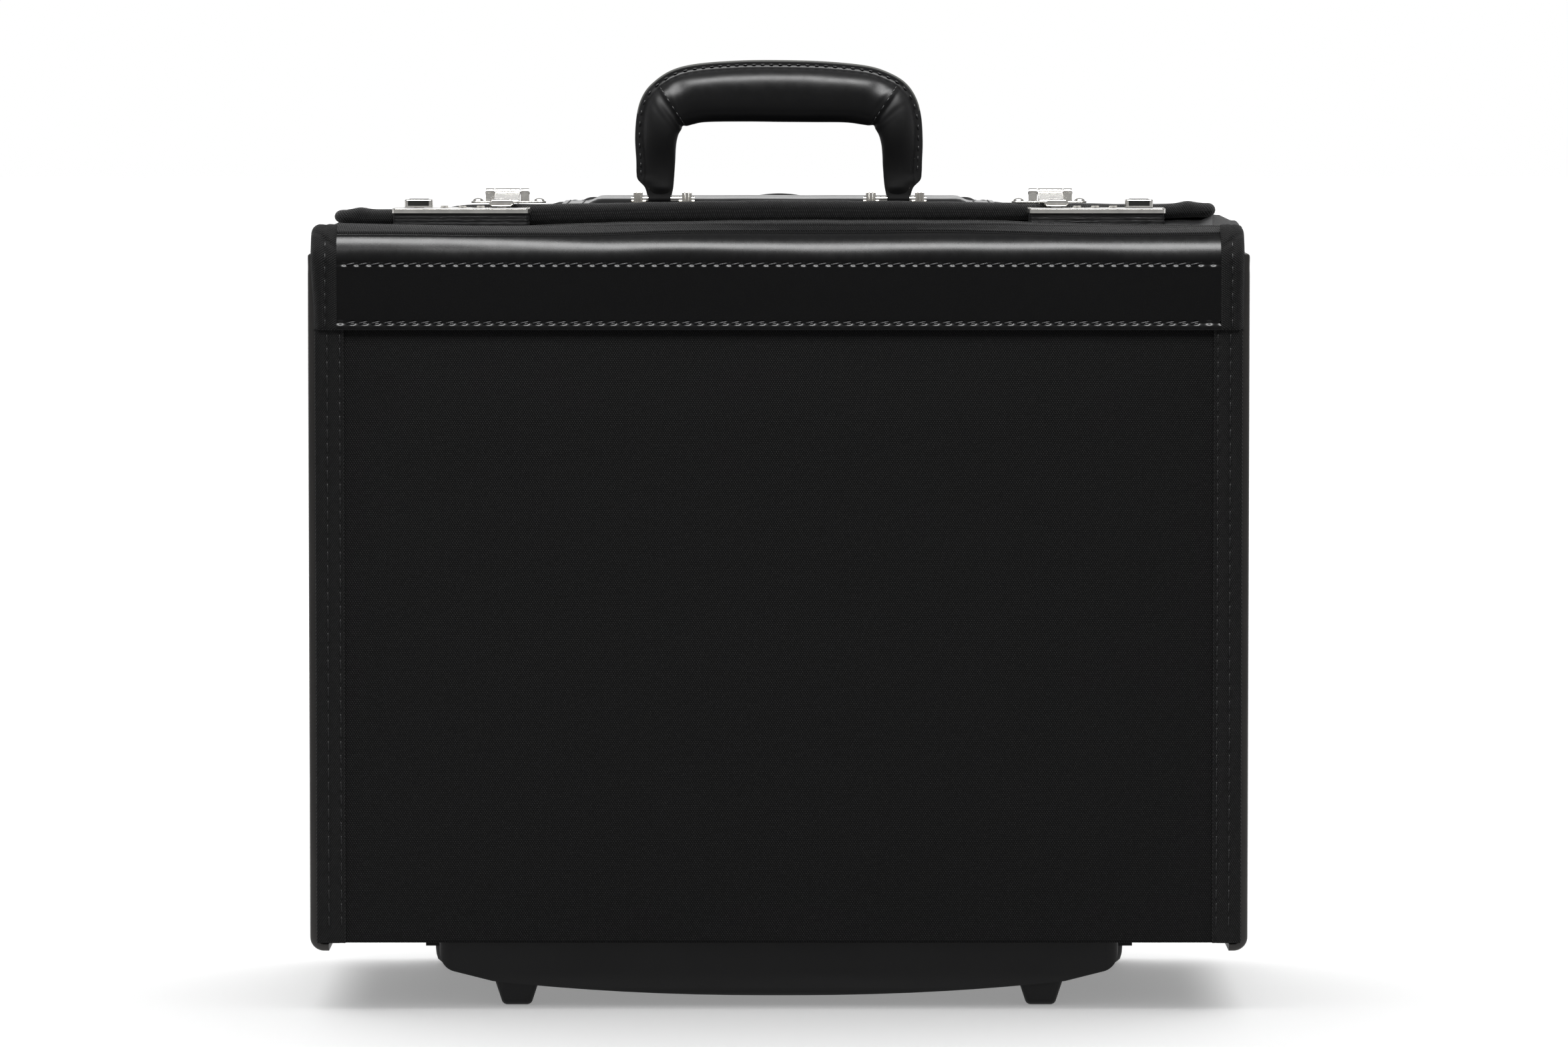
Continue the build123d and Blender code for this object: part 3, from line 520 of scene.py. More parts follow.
def rounded_rectangle(half_a, half_b, radius, steps=4):
    """A closed outline round (0, 0)."""
    points = []
    corners = ((1, -1, -90), (1, 1, 0), (-1, 1, 90), (-1, -1, 180))
    for side_a, side_b, start in corners:
        for step in range(steps + 1):
            angle = math.radians(start + 90 * step / steps)
            a = side_a * (half_a - radius) + radius * math.cos(angle)
            b = side_b * (half_b - radius) + radius * math.sin(angle)
            points.append((a, b))
    return points


def smoothstep(value, low, high):
    share = np.clip((value - low) / (high - low), 0, 1)
    return share * share * (3 - 2 * share)


def dip(distance, width):
    """A soft round dip that is 1 at the middle and fades out over about two widths."""
    return np.exp(-0.5 * (distance / width) ** 2)


def ripple(x, seed, wavelength):
    """A smooth uneven wave between about -1 and 1, the same for the same seed."""
    generator = random.Random(seed)
    total = np.zeros_like(np.asarray(x, float))
    for octave in range(3):
        length = wavelength / (1.6 ** octave) * generator.uniform(0.85, 1.15)
        phase = generator.uniform(0, 2 * math.pi)
        total = total + np.sin(2 * math.pi * x / length + phase) / (1 + octave)
    return total / 1.8


def measured(soft, *points):
    """A smooth curve across the case through (x, value) pairs, such as a soft edge's height."""
    xs = np.arange(-240.0, 241.0)
    line = np.interp(xs, *zip(*points))
    reach = 3 * soft
    weights = dip(np.arange(-reach, reach + 1), soft)
    line = np.convolve(np.pad(line, reach, mode="edge"), weights / weights.sum(), "valid")
    return lambda x: np.interp(x, xs, line)


def stitches(name, places, length, radius, material, arch):
    """Short thread stitches, one mesh. Each place is (middle, direction, outward)."""
    points, faces, uvs = [], [], []
    rings, sides = 7, 6
    for middle, direction, outward in places:
        middle = np.array(middle, float)
        direction = np.array(direction, float) / np.linalg.norm(direction)
        outward = np.array(outward, float) / np.linalg.norm(outward)
        sideways = np.cross(direction, outward)
        base = len(points)
        for ring in range(rings):
            share = ring / (rings - 1)
            bow = math.sin(math.pi * share)
            thickness = radius * (0.35 + 0.65 * bow ** 0.5)
            spot = middle + direction * (share - 0.5) * length + outward * (arch * bow - 0.1)
            for side in range(sides):
                angle = 2 * math.pi * side / sides
                turn = sideways * math.cos(angle) + outward * math.sin(angle)
                points.append(spot + thickness * turn)
        for ring in range(rings - 1):
            for side in range(sides):
                here = base + ring * sides
                after = (side + 1) % sides
                above = here + sides
                faces.append((here + side, here + after, above + after, above + side))
                uvs += [(ring, side)] * 4
        for ring, order in ((0, -1), (rings - 1, 1)):
            end = [base + ring * sides + side for side in range(sides)]
            faces.append(tuple(end[::order]))
            uvs += [(0, 0)] * sides
    return new_piece(name, points, faces, uvs, material)


def seam(start, end, pitch, outward, slant):
    """Stitch places evenly spaced between two points; slant tips each one in degrees."""
    start, end = np.array(start, float), np.array(end, float)
    count = max(1, round(np.linalg.norm(end - start) / pitch))
    direction = (end - start) / np.linalg.norm(end - start)
    sideways = np.cross(outward, direction)
    angle = math.radians(slant)
    leaning = direction * math.cos(angle) + sideways * math.sin(angle)
    middles = [start + (end - start) * (step + 0.5) / count for step in range(count)]
    return [(middle, leaning, outward) for middle in middles]


def show(piece, body, slot, *nodes):
    """Puts a piece on a body and hides the CAD nodes it stands for; slot is not used."""
    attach(piece, body)
    if nodes:
        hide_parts(*nodes)
    return piece


# ======================================================== boards and soft covers


def grid_lines(low, high, step, rim=1.5, extra=()):
    """Grid positions between two limits, closer together near both ends."""
    near = rim * np.array([0, 0.06, 0.2, 0.42, 0.7, 1.0])
    count = max(2, int((high - low - 2 * rim) / step))
    middle = np.linspace(low + rim, high - rim, count)
    return merged(low + near, middle, high - near, extra)


def merged(*parts, places=3):
    """Grid positions from several lists, in order and without repeats."""
    return np.unique(np.concatenate(parts).round(places))


def eased(distance, radius):
    """How far a rounded edge lies below the flat face, this far in from the rim."""
    inside = np.clip(distance, 0, radius)
    return radius - np.sqrt(np.maximum(radius ** 2 - (radius - inside) ** 2, 0))


def end_distance(u, us):
    """Distance to the nearer end of a row of grid positions."""
    return np.minimum(u - us[0], us[-1] - u)


def rim_distance(u, v, us, vs):
    """Distance to the nearest outer edge of a grid."""
    return np.minimum(end_distance(u, us), end_distance(v, vs))


def slab(name, us, vs, low, high, place, materials, keep=None):
    """A closed board over a grid.

    low and high are the heights of its two faces, place(u, v, height) gives x, depth and z, and
    keep(u, v) says which cells exist. The materials are the high face's, the low face's and the
    edges'."""
    us, vs = np.asarray(us, float), np.asarray(vs, float)
    u, v = np.meshgrid(us, vs, indexing="ij")
    size = u.size
    layers = []
    for face in (low, high):
        height = face(u, v) if callable(face) else np.full_like(u, face)
        layers.append(np.stack(place(u, v, height), axis=-1).reshape(-1, 3))
    rows, columns = u.shape[0] - 1, u.shape[1] - 1
    middle_u = (us[:-1] + us[1:])[:, None] / 2 + np.zeros((1, columns))
    middle_v = (vs[:-1] + vs[1:])[None, :] / 2 + np.zeros((rows, 1))
    kept = np.ones((rows, columns), bool) if keep is None else keep(middle_u, middle_v)
    flat_u, flat_v = u.ravel(), v.ravel()
    width = columns + 1
    faces, uvs, kinds = [], [], []

    def add(corners, kind):
        faces.append(tuple(corners))
        kinds.append(kind)
        for corner in corners:
            spot = corner % size
            uvs.append((flat_u[spot], flat_v[spot]))

    def is_kept(i, j):
        return 0 <= i < rows and 0 <= j < columns and kept[i, j]

    for i in range(rows):
        for j in range(columns):
            if not kept[i, j]:
                continue
            here, after = i * width + j, (i + 1) * width + j
            ring = [here, after, after + 1, here + 1]
            add([corner + size for corner in ring], 0)
            add(ring[::-1], 1)
            sides = ((i, j - 1), (i + 1, j), (i, j + 1), (i - 1, j))
            for side, neighbour in enumerate(sides):
                if not is_kept(*neighbour):
                    first, second = ring[side], ring[(side + 1) % 4]
                    add([first, second, second + size, first + size], 2)
    piece = new_piece(name, np.concatenate(layers), faces, uvs, materials[0])
    for material in materials[1:]:
        piece.data.materials.append(material)
    highest = len(materials) - 1
    piece.data.polygons.foreach_set("material_index", [min(kind, highest) for kind in kinds])
    edit(piece, drop_loose, turn_outward)
    piece.data.set_sharp_from_angle(angle=math.radians(50))
    return piece


def drop_loose(shape):
    """Deletes the vertices that no face uses."""
    loose = [vertex for vertex in shape.verts if not vertex.link_faces]
    bmesh.ops.delete(shape, geom=loose, context="VERTS")


def facing_front(u, v, height):
    return u, -height, v


def facing_back(u, v, height):
    return u, height, v


def facing_up(u, v, height):
    return u, v, height


class Path:
    """A smooth line in two axes, with its outward direction, by the distance along it."""

    def __init__(self, points):
        points = np.array(points, float)
        steps = np.linalg.norm(np.diff(points, axis=0), axis=1)
        self.at = np.concatenate(([0], np.cumsum(steps)))
        self.length = self.at[-1]
        tangent = np.gradient(points, self.at, axis=0)
        tangent /= np.linalg.norm(tangent, axis=1)[:, None]
        self.points = points
        self.outward = np.stack((-tangent[:, 1], tangent[:, 0]), axis=1)

    def offset(self, s, height):
        """The two coordinates of a point this far along and this far outward."""
        spot, out = [
            [np.interp(s, self.at, values[:, axis]) for axis in (0, 1)]
            for values in (self.points, self.outward)
        ]
        return spot[0] + out[0] * height, spot[1] + out[1] * height


def arc(centre, radius, start, end, steps=24):
    """Points on an arc between two angles in degrees."""
    angles = np.radians(np.linspace(start, end, steps))
    a, b = centre
    return [(a + radius * math.cos(angle), b + radius * math.sin(angle)) for angle in angles]


def straight(start, end):
    """Points along a line about every two millimetres, without its end."""
    start, end = np.array(start, float), np.array(end, float)
    count = max(2, int(np.linalg.norm(end - start) / 2.0))
    shares = np.linspace(0, 1, count, endpoint=False)
    return [tuple(start + (end - start) * share) for share in shares]


def sewn_dents(u, v, row, pitch, groove=0.35, hole=0.34, pucker=0.12):
    """The relief that a row of stitches along u pulls into a soft surface."""
    beat = 0.5 + 0.5 * np.cos(2 * math.pi * u / pitch)
    line = -groove * dip(v - row, 0.75) * (0.7 + 0.3 * beat)
    holes = -hole * dip(v - row + 0.2, 0.7) * beat ** 3
    bulges = pucker * dip(v - row + 1.7, 0.8) * beat ** 1.5
    return line + holes + bulges


# ------------------------------------------------------- leather along the front

(_, _, BAND_BOTTOM), (BAND_HALF, _, ROLL_Z) = limits("front_leather_band")
LEATHER = 1.6  # its thickness
SKIN_BACK = -1.5  # the hidden face's height
ROLL_OUTER = 17.2
ROLL_MIDDLE = (ROLL_OUTER - LEATHER, ROLL_Z)
ROLL_TURN = 80  # degrees
BAND_ROW = BAND_BOTTOM + 3.9
BAND_PITCH = 6.2
FRONT_PATH = Path(
    straight((-LEATHER, BAND_BOTTOM), (-LEATHER, ROLL_Z))
    + arc(ROLL_MIDDLE, ROLL_OUTER, 180, 180 - ROLL_TURN)
)
ROLL_ROW = ROLL_Z - BAND_BOTTOM + 0.6
RIDGE = measured(
    6, (-232, 393.2), (-221, 393.2), (-205, 392.6), (-185, 392.0), (-154, 391.8), (-138, 392.0),
    (-125, 392.7), (-110, 393.4), (-87, 394.3), (0, 395.5), (91, 395.4), (116, 395.1), (133, 394.2),
    (175, 393.3), (193, 393.1), (232, 392.7),
)
TAPE_LINE = FRONT_PATH.length - 4.0
ROLL_LEAN = measured(14, (-232, 0.13), (-160, 0.11), (-100, 0.01), (0, -0.02), (232, 0.0))
TAPE_COVER = measured(
    8, (-232, 7.2), (-154, 7.2), (-125, 6.8), (-87, 5.4), (-40, 2.8), (0, 1.2), (60, 1.1), (91, 1.8),
    (127, 4.3), (160, 6.0), (193, 5.5), (232, 4.6),
)


def up_the_front(u, v, height):
    depth, z = FRONT_PATH.offset(v, height)
    return u, depth, z


def up_the_taped_front(u, v, height):
    """As up_the_front, with TAPE_LINE drawn down to where the flap's tape ends on the roll."""
    start = ROLL_ROW + 6
    edge = FRONT_PATH.length - TAPE_COVER(u)
    below = start + (v - start) * (edge - start) / (TAPE_LINE - start)
    above = edge + (v - TAPE_LINE) * TAPE_COVER(u) / (FRONT_PATH.length - TAPE_LINE)
    return up_the_front(u, np.where(v < start, v, np.where(v < TAPE_LINE, below, above)), height)


def front_relief(u, v):
    """The front leather: puckered seams, a strip that turns out at the bottom, a wavy roll."""
    seam_one = sewn_dents(u, v, ROLL_ROW, BAND_PITCH, 0.45, 0.5, 0.3)
    seam_two = sewn_dents(u + 2, v, BAND_ROW - BAND_BOTTOM, BAND_PITCH, 0.45, 0.5, 0.35)
    strip = 0.55 * (1 - smoothstep(v, 0, 3.6))
    on_roll = smoothstep(v, ROLL_ROW + 1.5, ROLL_ROW + 9)
    wave = 0.3 * ripple(u, 3, 170) * on_roll
    swell = 0.35 * np.sin(np.clip((v - 4) / 26, 0, 1) * math.pi) * (1 + 0.3 * ripple(u, 5, 190))
    edge = eased(v, 0.7) * 0.8
    fine = 0.03 * ripple(0.35 * u + v, 8, 31)
    lean = ROLL_LEAN(u) * np.maximum(v - 42, 0) * on_roll
    taped = 0.9 * smoothstep(v, TAPE_LINE - 0.1, TAPE_LINE + 0.5)
    taped = taped - 0.25 * dip(v - TAPE_LINE + 0.5, 0.5)
    to_ridge = smoothstep(v, TAPE_LINE + 0.8, FRONT_PATH.length)
    taped = taped + 0.5 * np.maximum(RIDGE(u) - 391.3, 0) * to_ridge
    return seam_one + seam_two + strip + wave + swell * 0.6 + fine - edge + lean + taped


def band_lines():
    """Grid positions up the front leather, closer together at its seams and its tape."""
    rows = [ROLL_ROW, BAND_ROW - BAND_BOTTOM]
    close = [np.arange(row - 3.2, row + 2.4, 0.35) for row in rows]
    spread = np.linspace(0, FRONT_PATH.length, 34)
    close.append(TAPE_LINE + np.array([-1.5, -1, -0.6, -0.3, -0.1, 0, 0.1, 0.25, 0.5, 0.9]))
    lines = merged(*close, spread, [0, 0.1, 0.3, 0.7], places=2)
    return lines[(lines >= 0) & (lines <= FRONT_PATH.length)]


def front_leather():
    us = np.arange(-BAND_HALF, BAND_HALF + 0.01, BAND_HALF / 360)
    skin = slab(
        "front_leather", us, band_lines(), SKIN_BACK, front_relief, up_the_taped_front, [LEATHER_SKIN],
    )
    # The taped top of the roll takes the lighter copy of the tape: painted highlight.
    skin.data.materials.append(TAPE_PAINTED_HIGHLIGHT)
    corners = skin.data.uv_layers["surface"].data
    for polygon in skin.data.polygons:
        reach = sum(corners[loop].uv[1] for loop in polygon.loop_indices)
        if reach > len(polygon.vertices) * (TAPE_LINE - 0.4):
            polygon.material_index = 1
    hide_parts("front_leather_band", "front_leather_hinge")
    bend_on_flap(skin)
    rows = (("upper", ROLL_ROW, 0), ("lower", BAND_ROW - BAND_BOTTOM, -2))
    for label, row, shift in rows:
        places = []
        first = -BAND_HALF + 4 + shift
        for step in range(int((2 * BAND_HALF - 5) / BAND_PITCH)):
            u = first + step * BAND_PITCH + 0.5 * BAND_PITCH - (first % BAND_PITCH)
            if abs(u) > BAND_HALF - 3.2:
                continue
            places.append((up_the_front(u, row, 0.05), (1, 0, 0.2), (0, -1, 0.05)))
        sewing = stitches(f"band_stitches_{label}", places, 4.9, 0.42, LEATHER_THREAD, 0.3)
        show(sewing, "case", "leather")


def bend(piece, body, start, end):
    """Bakes a piece's transform into its mesh; the piece is not bent, body is not used, and the two
    (depth, z) places are turned into metres but not used.
    """
    start, end = [tuple(to_frame((0, *place))[0]) for place in (start, end)]
    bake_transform(piece)


def bend_on_flap(piece):
    bend(piece, "front_flap", (0, 376), (12, 389.5))


def corner_binding(name, side):
    """Woven tape folded over the end of the roll and round the box's upper corner."""
    inner, corner = BAND_HALF, 5.0
    narrow, wide = 232.6, 234.1 if side < 0 else 232.9
    length = FRONT_PATH.length
    row, pitch = inner + 5.6, 6.6
    rows = []
    start = 0.1
    for s in np.arange(start, length + 0.1, 0.8):
        s = min(s, length)
        outer = narrow + (wide - narrow) * float(smoothstep(s, 6, 36))
        proud = 0.9 + 2.5 * float(smoothstep(s, length - 14, length - 1))
        section = [(inner, SKIN_BACK), (inner - 0.1, proud - 0.6)]
        section += [(inner + 0.2, proud - 0.15), (inner + 0.8, proud)]
        section += [(x, proud) for x in np.linspace(inner + 2, outer - corner, 8)]
        section += arc((outer - corner, proud - corner), corner, 81, 0, 9)
        section += [(outer, -4.6), (outer, -6), (outer, -8), (outer - 0.1, -9), (outer - 0.4, -9)]
        section += [(outer - 0.5, -4.8), (outer - 0.8, -3.4), (228, -1.58), (224, -1.55)]
        section = np.array(section)
        x = section[:, 0]
        height = section[:, 1].copy()
        on_top = (height > -1) & (x > inner + 0.4)
        dents = sewn_dents(np.full_like(x, s), x, row, pitch, 0.4, 0.35, 0.12)
        fold = -0.5 * dip(s - ROLL_ROW - 13 - 0.9 * (x - inner - 6), 0.8)
        rough = 0.12 * ripple(s + 2.3 * x, 21, 17)
        height = np.where(on_top, height + dents + fold + rough, height)
        end_ease = eased(s - start, 0.9) * 0.5 + eased(length - s + 0.3, 0.9) * 0.5
        height = np.where(on_top, height - end_ease, height)
        depth, z = FRONT_PATH.offset(np.full_like(height, s), height)
        rows.append(np.stack((side * x, depth, z), axis=1))
    tape = loft(name, rows, TAPE)
    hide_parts("corner_bindings")
    bend_on_flap(tape)
    places = []
    for step in range(7):
        s = 3.6 + step * pitch
        here = np.array(FRONT_PATH.offset(s, 0))
        along = np.array(FRONT_PATH.offset(s + 1, 0)) - here
        out = np.array(FRONT_PATH.offset(s, 1)) - here
        places.append(((side * row, *FRONT_PATH.offset(s, 0.65)), (0, *along), (0, *out)))
    sewing = stitches(name + "_stitches", places, 3.6, 0.3, DARK_THREAD, 0.25)
    bend_on_flap(sewing)


# ------------------------------------------------------------ boards of the box


BOARD_INNER, BOARD_OUTER = 228, 232
COVERED = [NYLON, LINING, NYLON]


def wheel_gap():
    """The right wheel housing's corners, and both openings' edges across the case."""
    low, high = limits("wheel_housing_right")
    return low, high, (-high[0], -low[0], low[0], high[0])


def front_cover():
    low, high = limits("front_panel")
    us = grid_lines(low[0], high[0], 7)
    vs = grid_lines(low[2], high[2], 7, extra=(BAND_BOTTOM - 6, BAND_BOTTOM - 3, BAND_BOTTOM))

    def outside(u, v):
        across = smoothstep(217 - abs(u), 0, 60)
        up = smoothstep(v, low[2], low[2] + 60) * smoothstep(BAND_BOTTOM - v, 0, 50)
        swell = (0.9 + 0.2 * ripple(u, 31, 210) + 0.15 * ripple(v, 32, 170)) * across * up
        return swell - eased(rim_distance(u, v, us, vs), 1.2)

    cover = slab("front_cover", us, vs, -high[1], outside, facing_front, COVERED)
    show(cover, "case", "ballistic_nylon", "front_panel")


def back_cover():
    low, high = limits("back_panel")
    hole_low, hole_high, edges_x = wheel_gap()
    us = grid_lines(low[0], high[0], 8, extra=edges_x)
    vs = grid_lines(low[2], high[2], 8, extra=(hole_high[2],))

    def outside(u, v):
        rim = rim_distance(u, v, us, vs)
        return high[1] + 0.5 * smoothstep(rim, 4, 60) - eased(rim, 1.2)

    def keep(u, v):
        return ~((abs(u) > hole_low[0]) & (abs(u) < hole_high[0]) & (v < hole_high[2]))

    cover = slab("back_cover", us, vs, low[1], outside, facing_back, COVERED, keep)
    show(cover, "case", "ballistic_nylon", "back_panel")


def bottom_cover():
    low, high = limits("bottom_board")
    hole_low, hole_high, edges_x = wheel_gap()
    us = grid_lines(low[0], high[0], 9, extra=edges_x)
    vs = grid_lines(low[1], high[1], 9, extra=(hole_low[1],))

    def keep(u, v):
        return ~((abs(u) > hole_low[0]) & (abs(u) < hole_high[0]) & (v > hole_low[1]))

    def inside(u, v):
        away = smoothstep(rim_distance(u, v, us, vs), 2, 30)
        return high[2] + 0.4 * away * (0.6 + 0.4 * ripple(u, 41, 90))

    cover = slab("bottom_cover", us, vs, low[2], inside, facing_up, [LINING, NYLON, NYLON], keep)
    show(cover, "case", "ballistic_nylon", "bottom_board")


def side_cover(name, side):
    """A covered side board whose top edge steps up from the flap's seat to the lid's."""
    low, high = limits(f"side_panel_{name}")
    seat_front, seat_back = 66, 204
    steps = [seat + reach for seat in (seat_front, seat_back) for reach in (-0.3, 0.3)]
    us = grid_lines(low[1], high[1], 6, 13, extra=steps)
    vs = np.concatenate(([0, 0.004, 0.02], np.linspace(0.04, 0.96, 30), [0.98, 0.996, 1]))

    def top(u):
        round_front, round_back = 13.2, 6
        ahead = round_front - np.clip(u, 0, round_front)
        front = 386.6 - round_front + np.sqrt(np.maximum(round_front ** 2 - ahead ** 2, 0))
        behind = np.clip(u - 214, 0, round_back)
        back = 381 - round_back + np.sqrt(np.maximum(round_back ** 2 - behind ** 2, 0))
        under_lid = 389.5 if side < 0 else 393.3
        return np.where(u < seat_front, front, np.where(u < seat_back, under_lid, back))

    def place(u, v, height):
        return side * height, u, low[2] + v * (top(u) - low[2])

    def outside(u, v):
        z = low[2] + v * (top(u) - low[2])
        return BOARD_OUTER - eased(top(u) - z, 1.2)

    board = slab(
        f"side_cover_{name}", us, vs, BOARD_INNER, outside, place, [NYLON, LINING, TAPE],
    )
    typical_height = 350
    for loop in board.data.uv_layers["surface"].data:
        loop.uv = (loop.uv[0], loop.uv[1] * typical_height)
    show(board, "case", "ballistic_nylon", f"side_panel_{name}")


def divider_cover():
    """The divider between the compartments, with a hem of tape along its top."""
    low, high = limits("file_divider")
    hem_edge = (high[2] - 11, high[2] - 10.6)
    us = grid_lines(low[0], high[0], 9, 1.0)
    vs = grid_lines(low[2], high[2], 9, 1.0, extra=hem_edge)

    def face(sign, base):
        def height(u, v):
            hem = 0.35 * smoothstep(v, *hem_edge)
            return base + sign * (hem - eased(rim_distance(u, v, us, vs), 0.6))

        return height

    faces = face(-1, low[1]), face(1, high[1])
    cover = slab("divider_cover", us, vs, *faces, facing_back, [LINING, LINING, TAPE])
    show(cover, "case", "lining_board", "file_divider")


def edge_tape(name, side, face_depth, outward, inner, top, rows):
    """A strip of woven tape down an upright edge of the box, with its rows of stitching."""
    bottom = limits("edge_tapes")[0][2]
    us = grid_lines(inner, BOARD_OUTER, 0.9, 0.8)
    vs = grid_lines(bottom, top, 1.1, 0.8)
    pitch = 6.8

    def outside(u, v):
        height = 1.1 + 0.06 * ripple(v + 3 * u, 51, 23)
        for row in rows:
            height = height + sewn_dents(v, u, row, pitch, 0.3, 0.3, 0.1)
        return height - eased(u - inner, 0.6) - eased(BOARD_OUTER - u, 1.1)

    def place(u, v, height):
        return side * u, face_depth + outward * height, v

    tape = slab(name, us, vs, 0.0, outside, place, [TAPE])
    show(tape, "case", "binding_tape", "edge_tapes")
    places = []
    first = bottom + 4
    for row in rows:
        for step in range(int((top - bottom - 4) / pitch)):
            z = first + (step + 0.5) * pitch - first % pitch + pitch
            if z < top - 2:
                middle = (side * row, face_depth + outward * 0.95, z)
                places.append((middle, (0.05 * side, 0, 1), (0, outward, 0)))
    show(stitches(name + "_stitches", places, 4.6, 0.28, DARK_THREAD, 0.22), "case", "binding_tape")


def side_vinyl(name, side):
    """The thick vinyl side that curls in under the box."""
    low, high = limits(f"side_bumper_{name}")
    top, outer, thickness, bend = high[2], 235.5, 3.4, 7.0
    centre = (outer - bend, low[2] + bend)
    path = Path(
        straight((outer, top), (outer, centre[1]))
        + arc(centre, bend, 0, -90, 14)
        + [(226.6, low[2]), (226, low[2] + 0.02)]
    )
    us = grid_lines(low[1], high[1], 5, 2.5)
    bend_start = top - centre[1]
    vs = np.concatenate((
        [0, 0.15, 0.5, 1.0, 1.8],
        np.linspace(3, bend_start - 2, 90),
        np.linspace(bend_start, path.length, 16),
    ))

    def outside(u, v):
        wave = 0.28 * ripple(v + 0.2 * u, 61 + side, 130)
        wave = wave + 0.18 * ripple(u + 0.4 * v, 63 + side, 120)
        fade = smoothstep(v, 0, 30) * smoothstep(path.length - v, 2, 40)
        fade = fade * smoothstep(rim_distance(u, v, us, vs), 0, 25)
        ends = end_distance(u, us)
        line = -0.35 * dip(np.abs(np.minimum(ends, 60) - 6.5), 0.5) - 0.3 * dip(v - 6.0, 0.5)
        return wave * fade + line - eased(ends, 1.8) - eased(v, 1.5)

    def place(u, v, height):
        x, z = path.offset(v, height)
        return side * x, u, z

    skin = slab(f"side_vinyl_{name}", us, vs, -thickness, outside, place, [VINYL])
    show(skin, "case", "bumper_vinyl", f"side_bumper_{name}")


# --------------------------------------------------------------- leather behind


PANEL_SIDE = (112, 125)


def rear_leather():
    """The strip down the back that the lid turns on. Beyond the lid's panel it sinks under it."""
    low, high = limits("rear_leather_hinge")
    back = high[1]
    centre = (back - ROLL_OUTER, high[2] - ROLL_OUTER)
    path = Path(
        arc(centre, ROLL_OUTER, 90, 0)
        + straight((back, centre[1] - 0.5), (back, low[2]))
        + [(back, low[2] - 0.01)]
    )
    beyond = np.array([224, 228, 231.5])
    between = np.arange(-BAND_HALF, BAND_HALF + 0.01, BAND_HALF / 240)
    us = np.concatenate((-beyond[::-1], between, beyond))
    row = path.length - 4
    upper_row = math.radians(90) * ROLL_OUTER + 6
    close = [np.arange(middle - 2, middle + 2.6, 0.4) for middle in (row, upper_row)]
    vs = merged(*close, np.linspace(0, path.length, 34), [path.length - 0.3], places=2)
    vs = vs[(vs >= 0) & (vs <= path.length)]

    def outside(u, v):
        relief = sewn_dents(u, -v, -row, BAND_PITCH)
        relief = relief + sewn_dents(u + 2, -v, -upper_row, BAND_PITCH)
        return relief + 0.2 * ripple(u, 71, 180) * dip(v - 14, 8) - eased(path.length - v, 0.7)

    def place(u, v, height):
        depth, z = path.offset(v, height)
        hidden = np.minimum(high[2], LID_TOP(u) - 1.0 - EYE_SLOPE * (back - LID_FRONT))
        hidden = np.minimum(hidden, 393 + 7 * (1 - smoothstep(abs(u), 212, 222)))
        share = (1 - smoothstep(v, 8, 60)) * smoothstep(abs(u), *PANEL_SIDE)
        return u, depth, z - (high[2] - hidden) * share

    def keep(u, v):
        return (abs(u) < BAND_HALF) | (v < 34)

    skin = slab("rear_leather", us, vs, SKIN_BACK, outside, place, [LEATHER_SKIN], keep)
    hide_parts("rear_leather_hinge")
    bend(skin, "lid", (219.5, 388.5), (206, 399))
    places = []
    for middle in (row, upper_row):
        depth, z = path.offset(middle, -0.1)
        for step in range(-34, 35):
            places.append((((step + 0.5) * BAND_PITCH, depth, z), (1, 0, 0.15), (0, 1, 0)))
    show(stitches("rear_stitches", places, 4.8, 0.4, LEATHER_THREAD, 0.3), "case", "leather")


# --------------------------------------------------------------------- the flap


FLAP_REST = measured(
    9, (-232, 391.0), (-110, 391.3), (-60, 392.4), (0, 393.0), (130, 393.0), (160, 392.7),
    (232, 392.4),
)


def flap_height(u, v):
    """The flap's face: sunk behind its front bar at the left, rising to the back at the right."""
    rise = 1.7 * smoothstep(u, 176, 204) * smoothstep(v, 20, 58)
    corner = 3.2 * smoothstep(u, 216.5, 219.5) * (1 - smoothstep(u, 219.5, 231)) * smoothstep(v, 15, 50)
    corner = corner * (1 - smoothstep(v, 54, 60))
    return FLAP_REST(u) + rise + corner


def flap_top():
    underside = limits("flap_board")[0][2]
    us = grid_lines(-228, 228, 7)
    vs = grid_lines(19, 61.5, 4)

    def outside(u, v):
        return flap_height(u, v) - 0.35 + 0.12 * ripple(u + v, 81, 60)

    top = slab("flap_top", us, vs, underside, outside, facing_up, [FLAP_LEATHER, LINING])
    show(top, "front_flap", "leather", "flap_board")


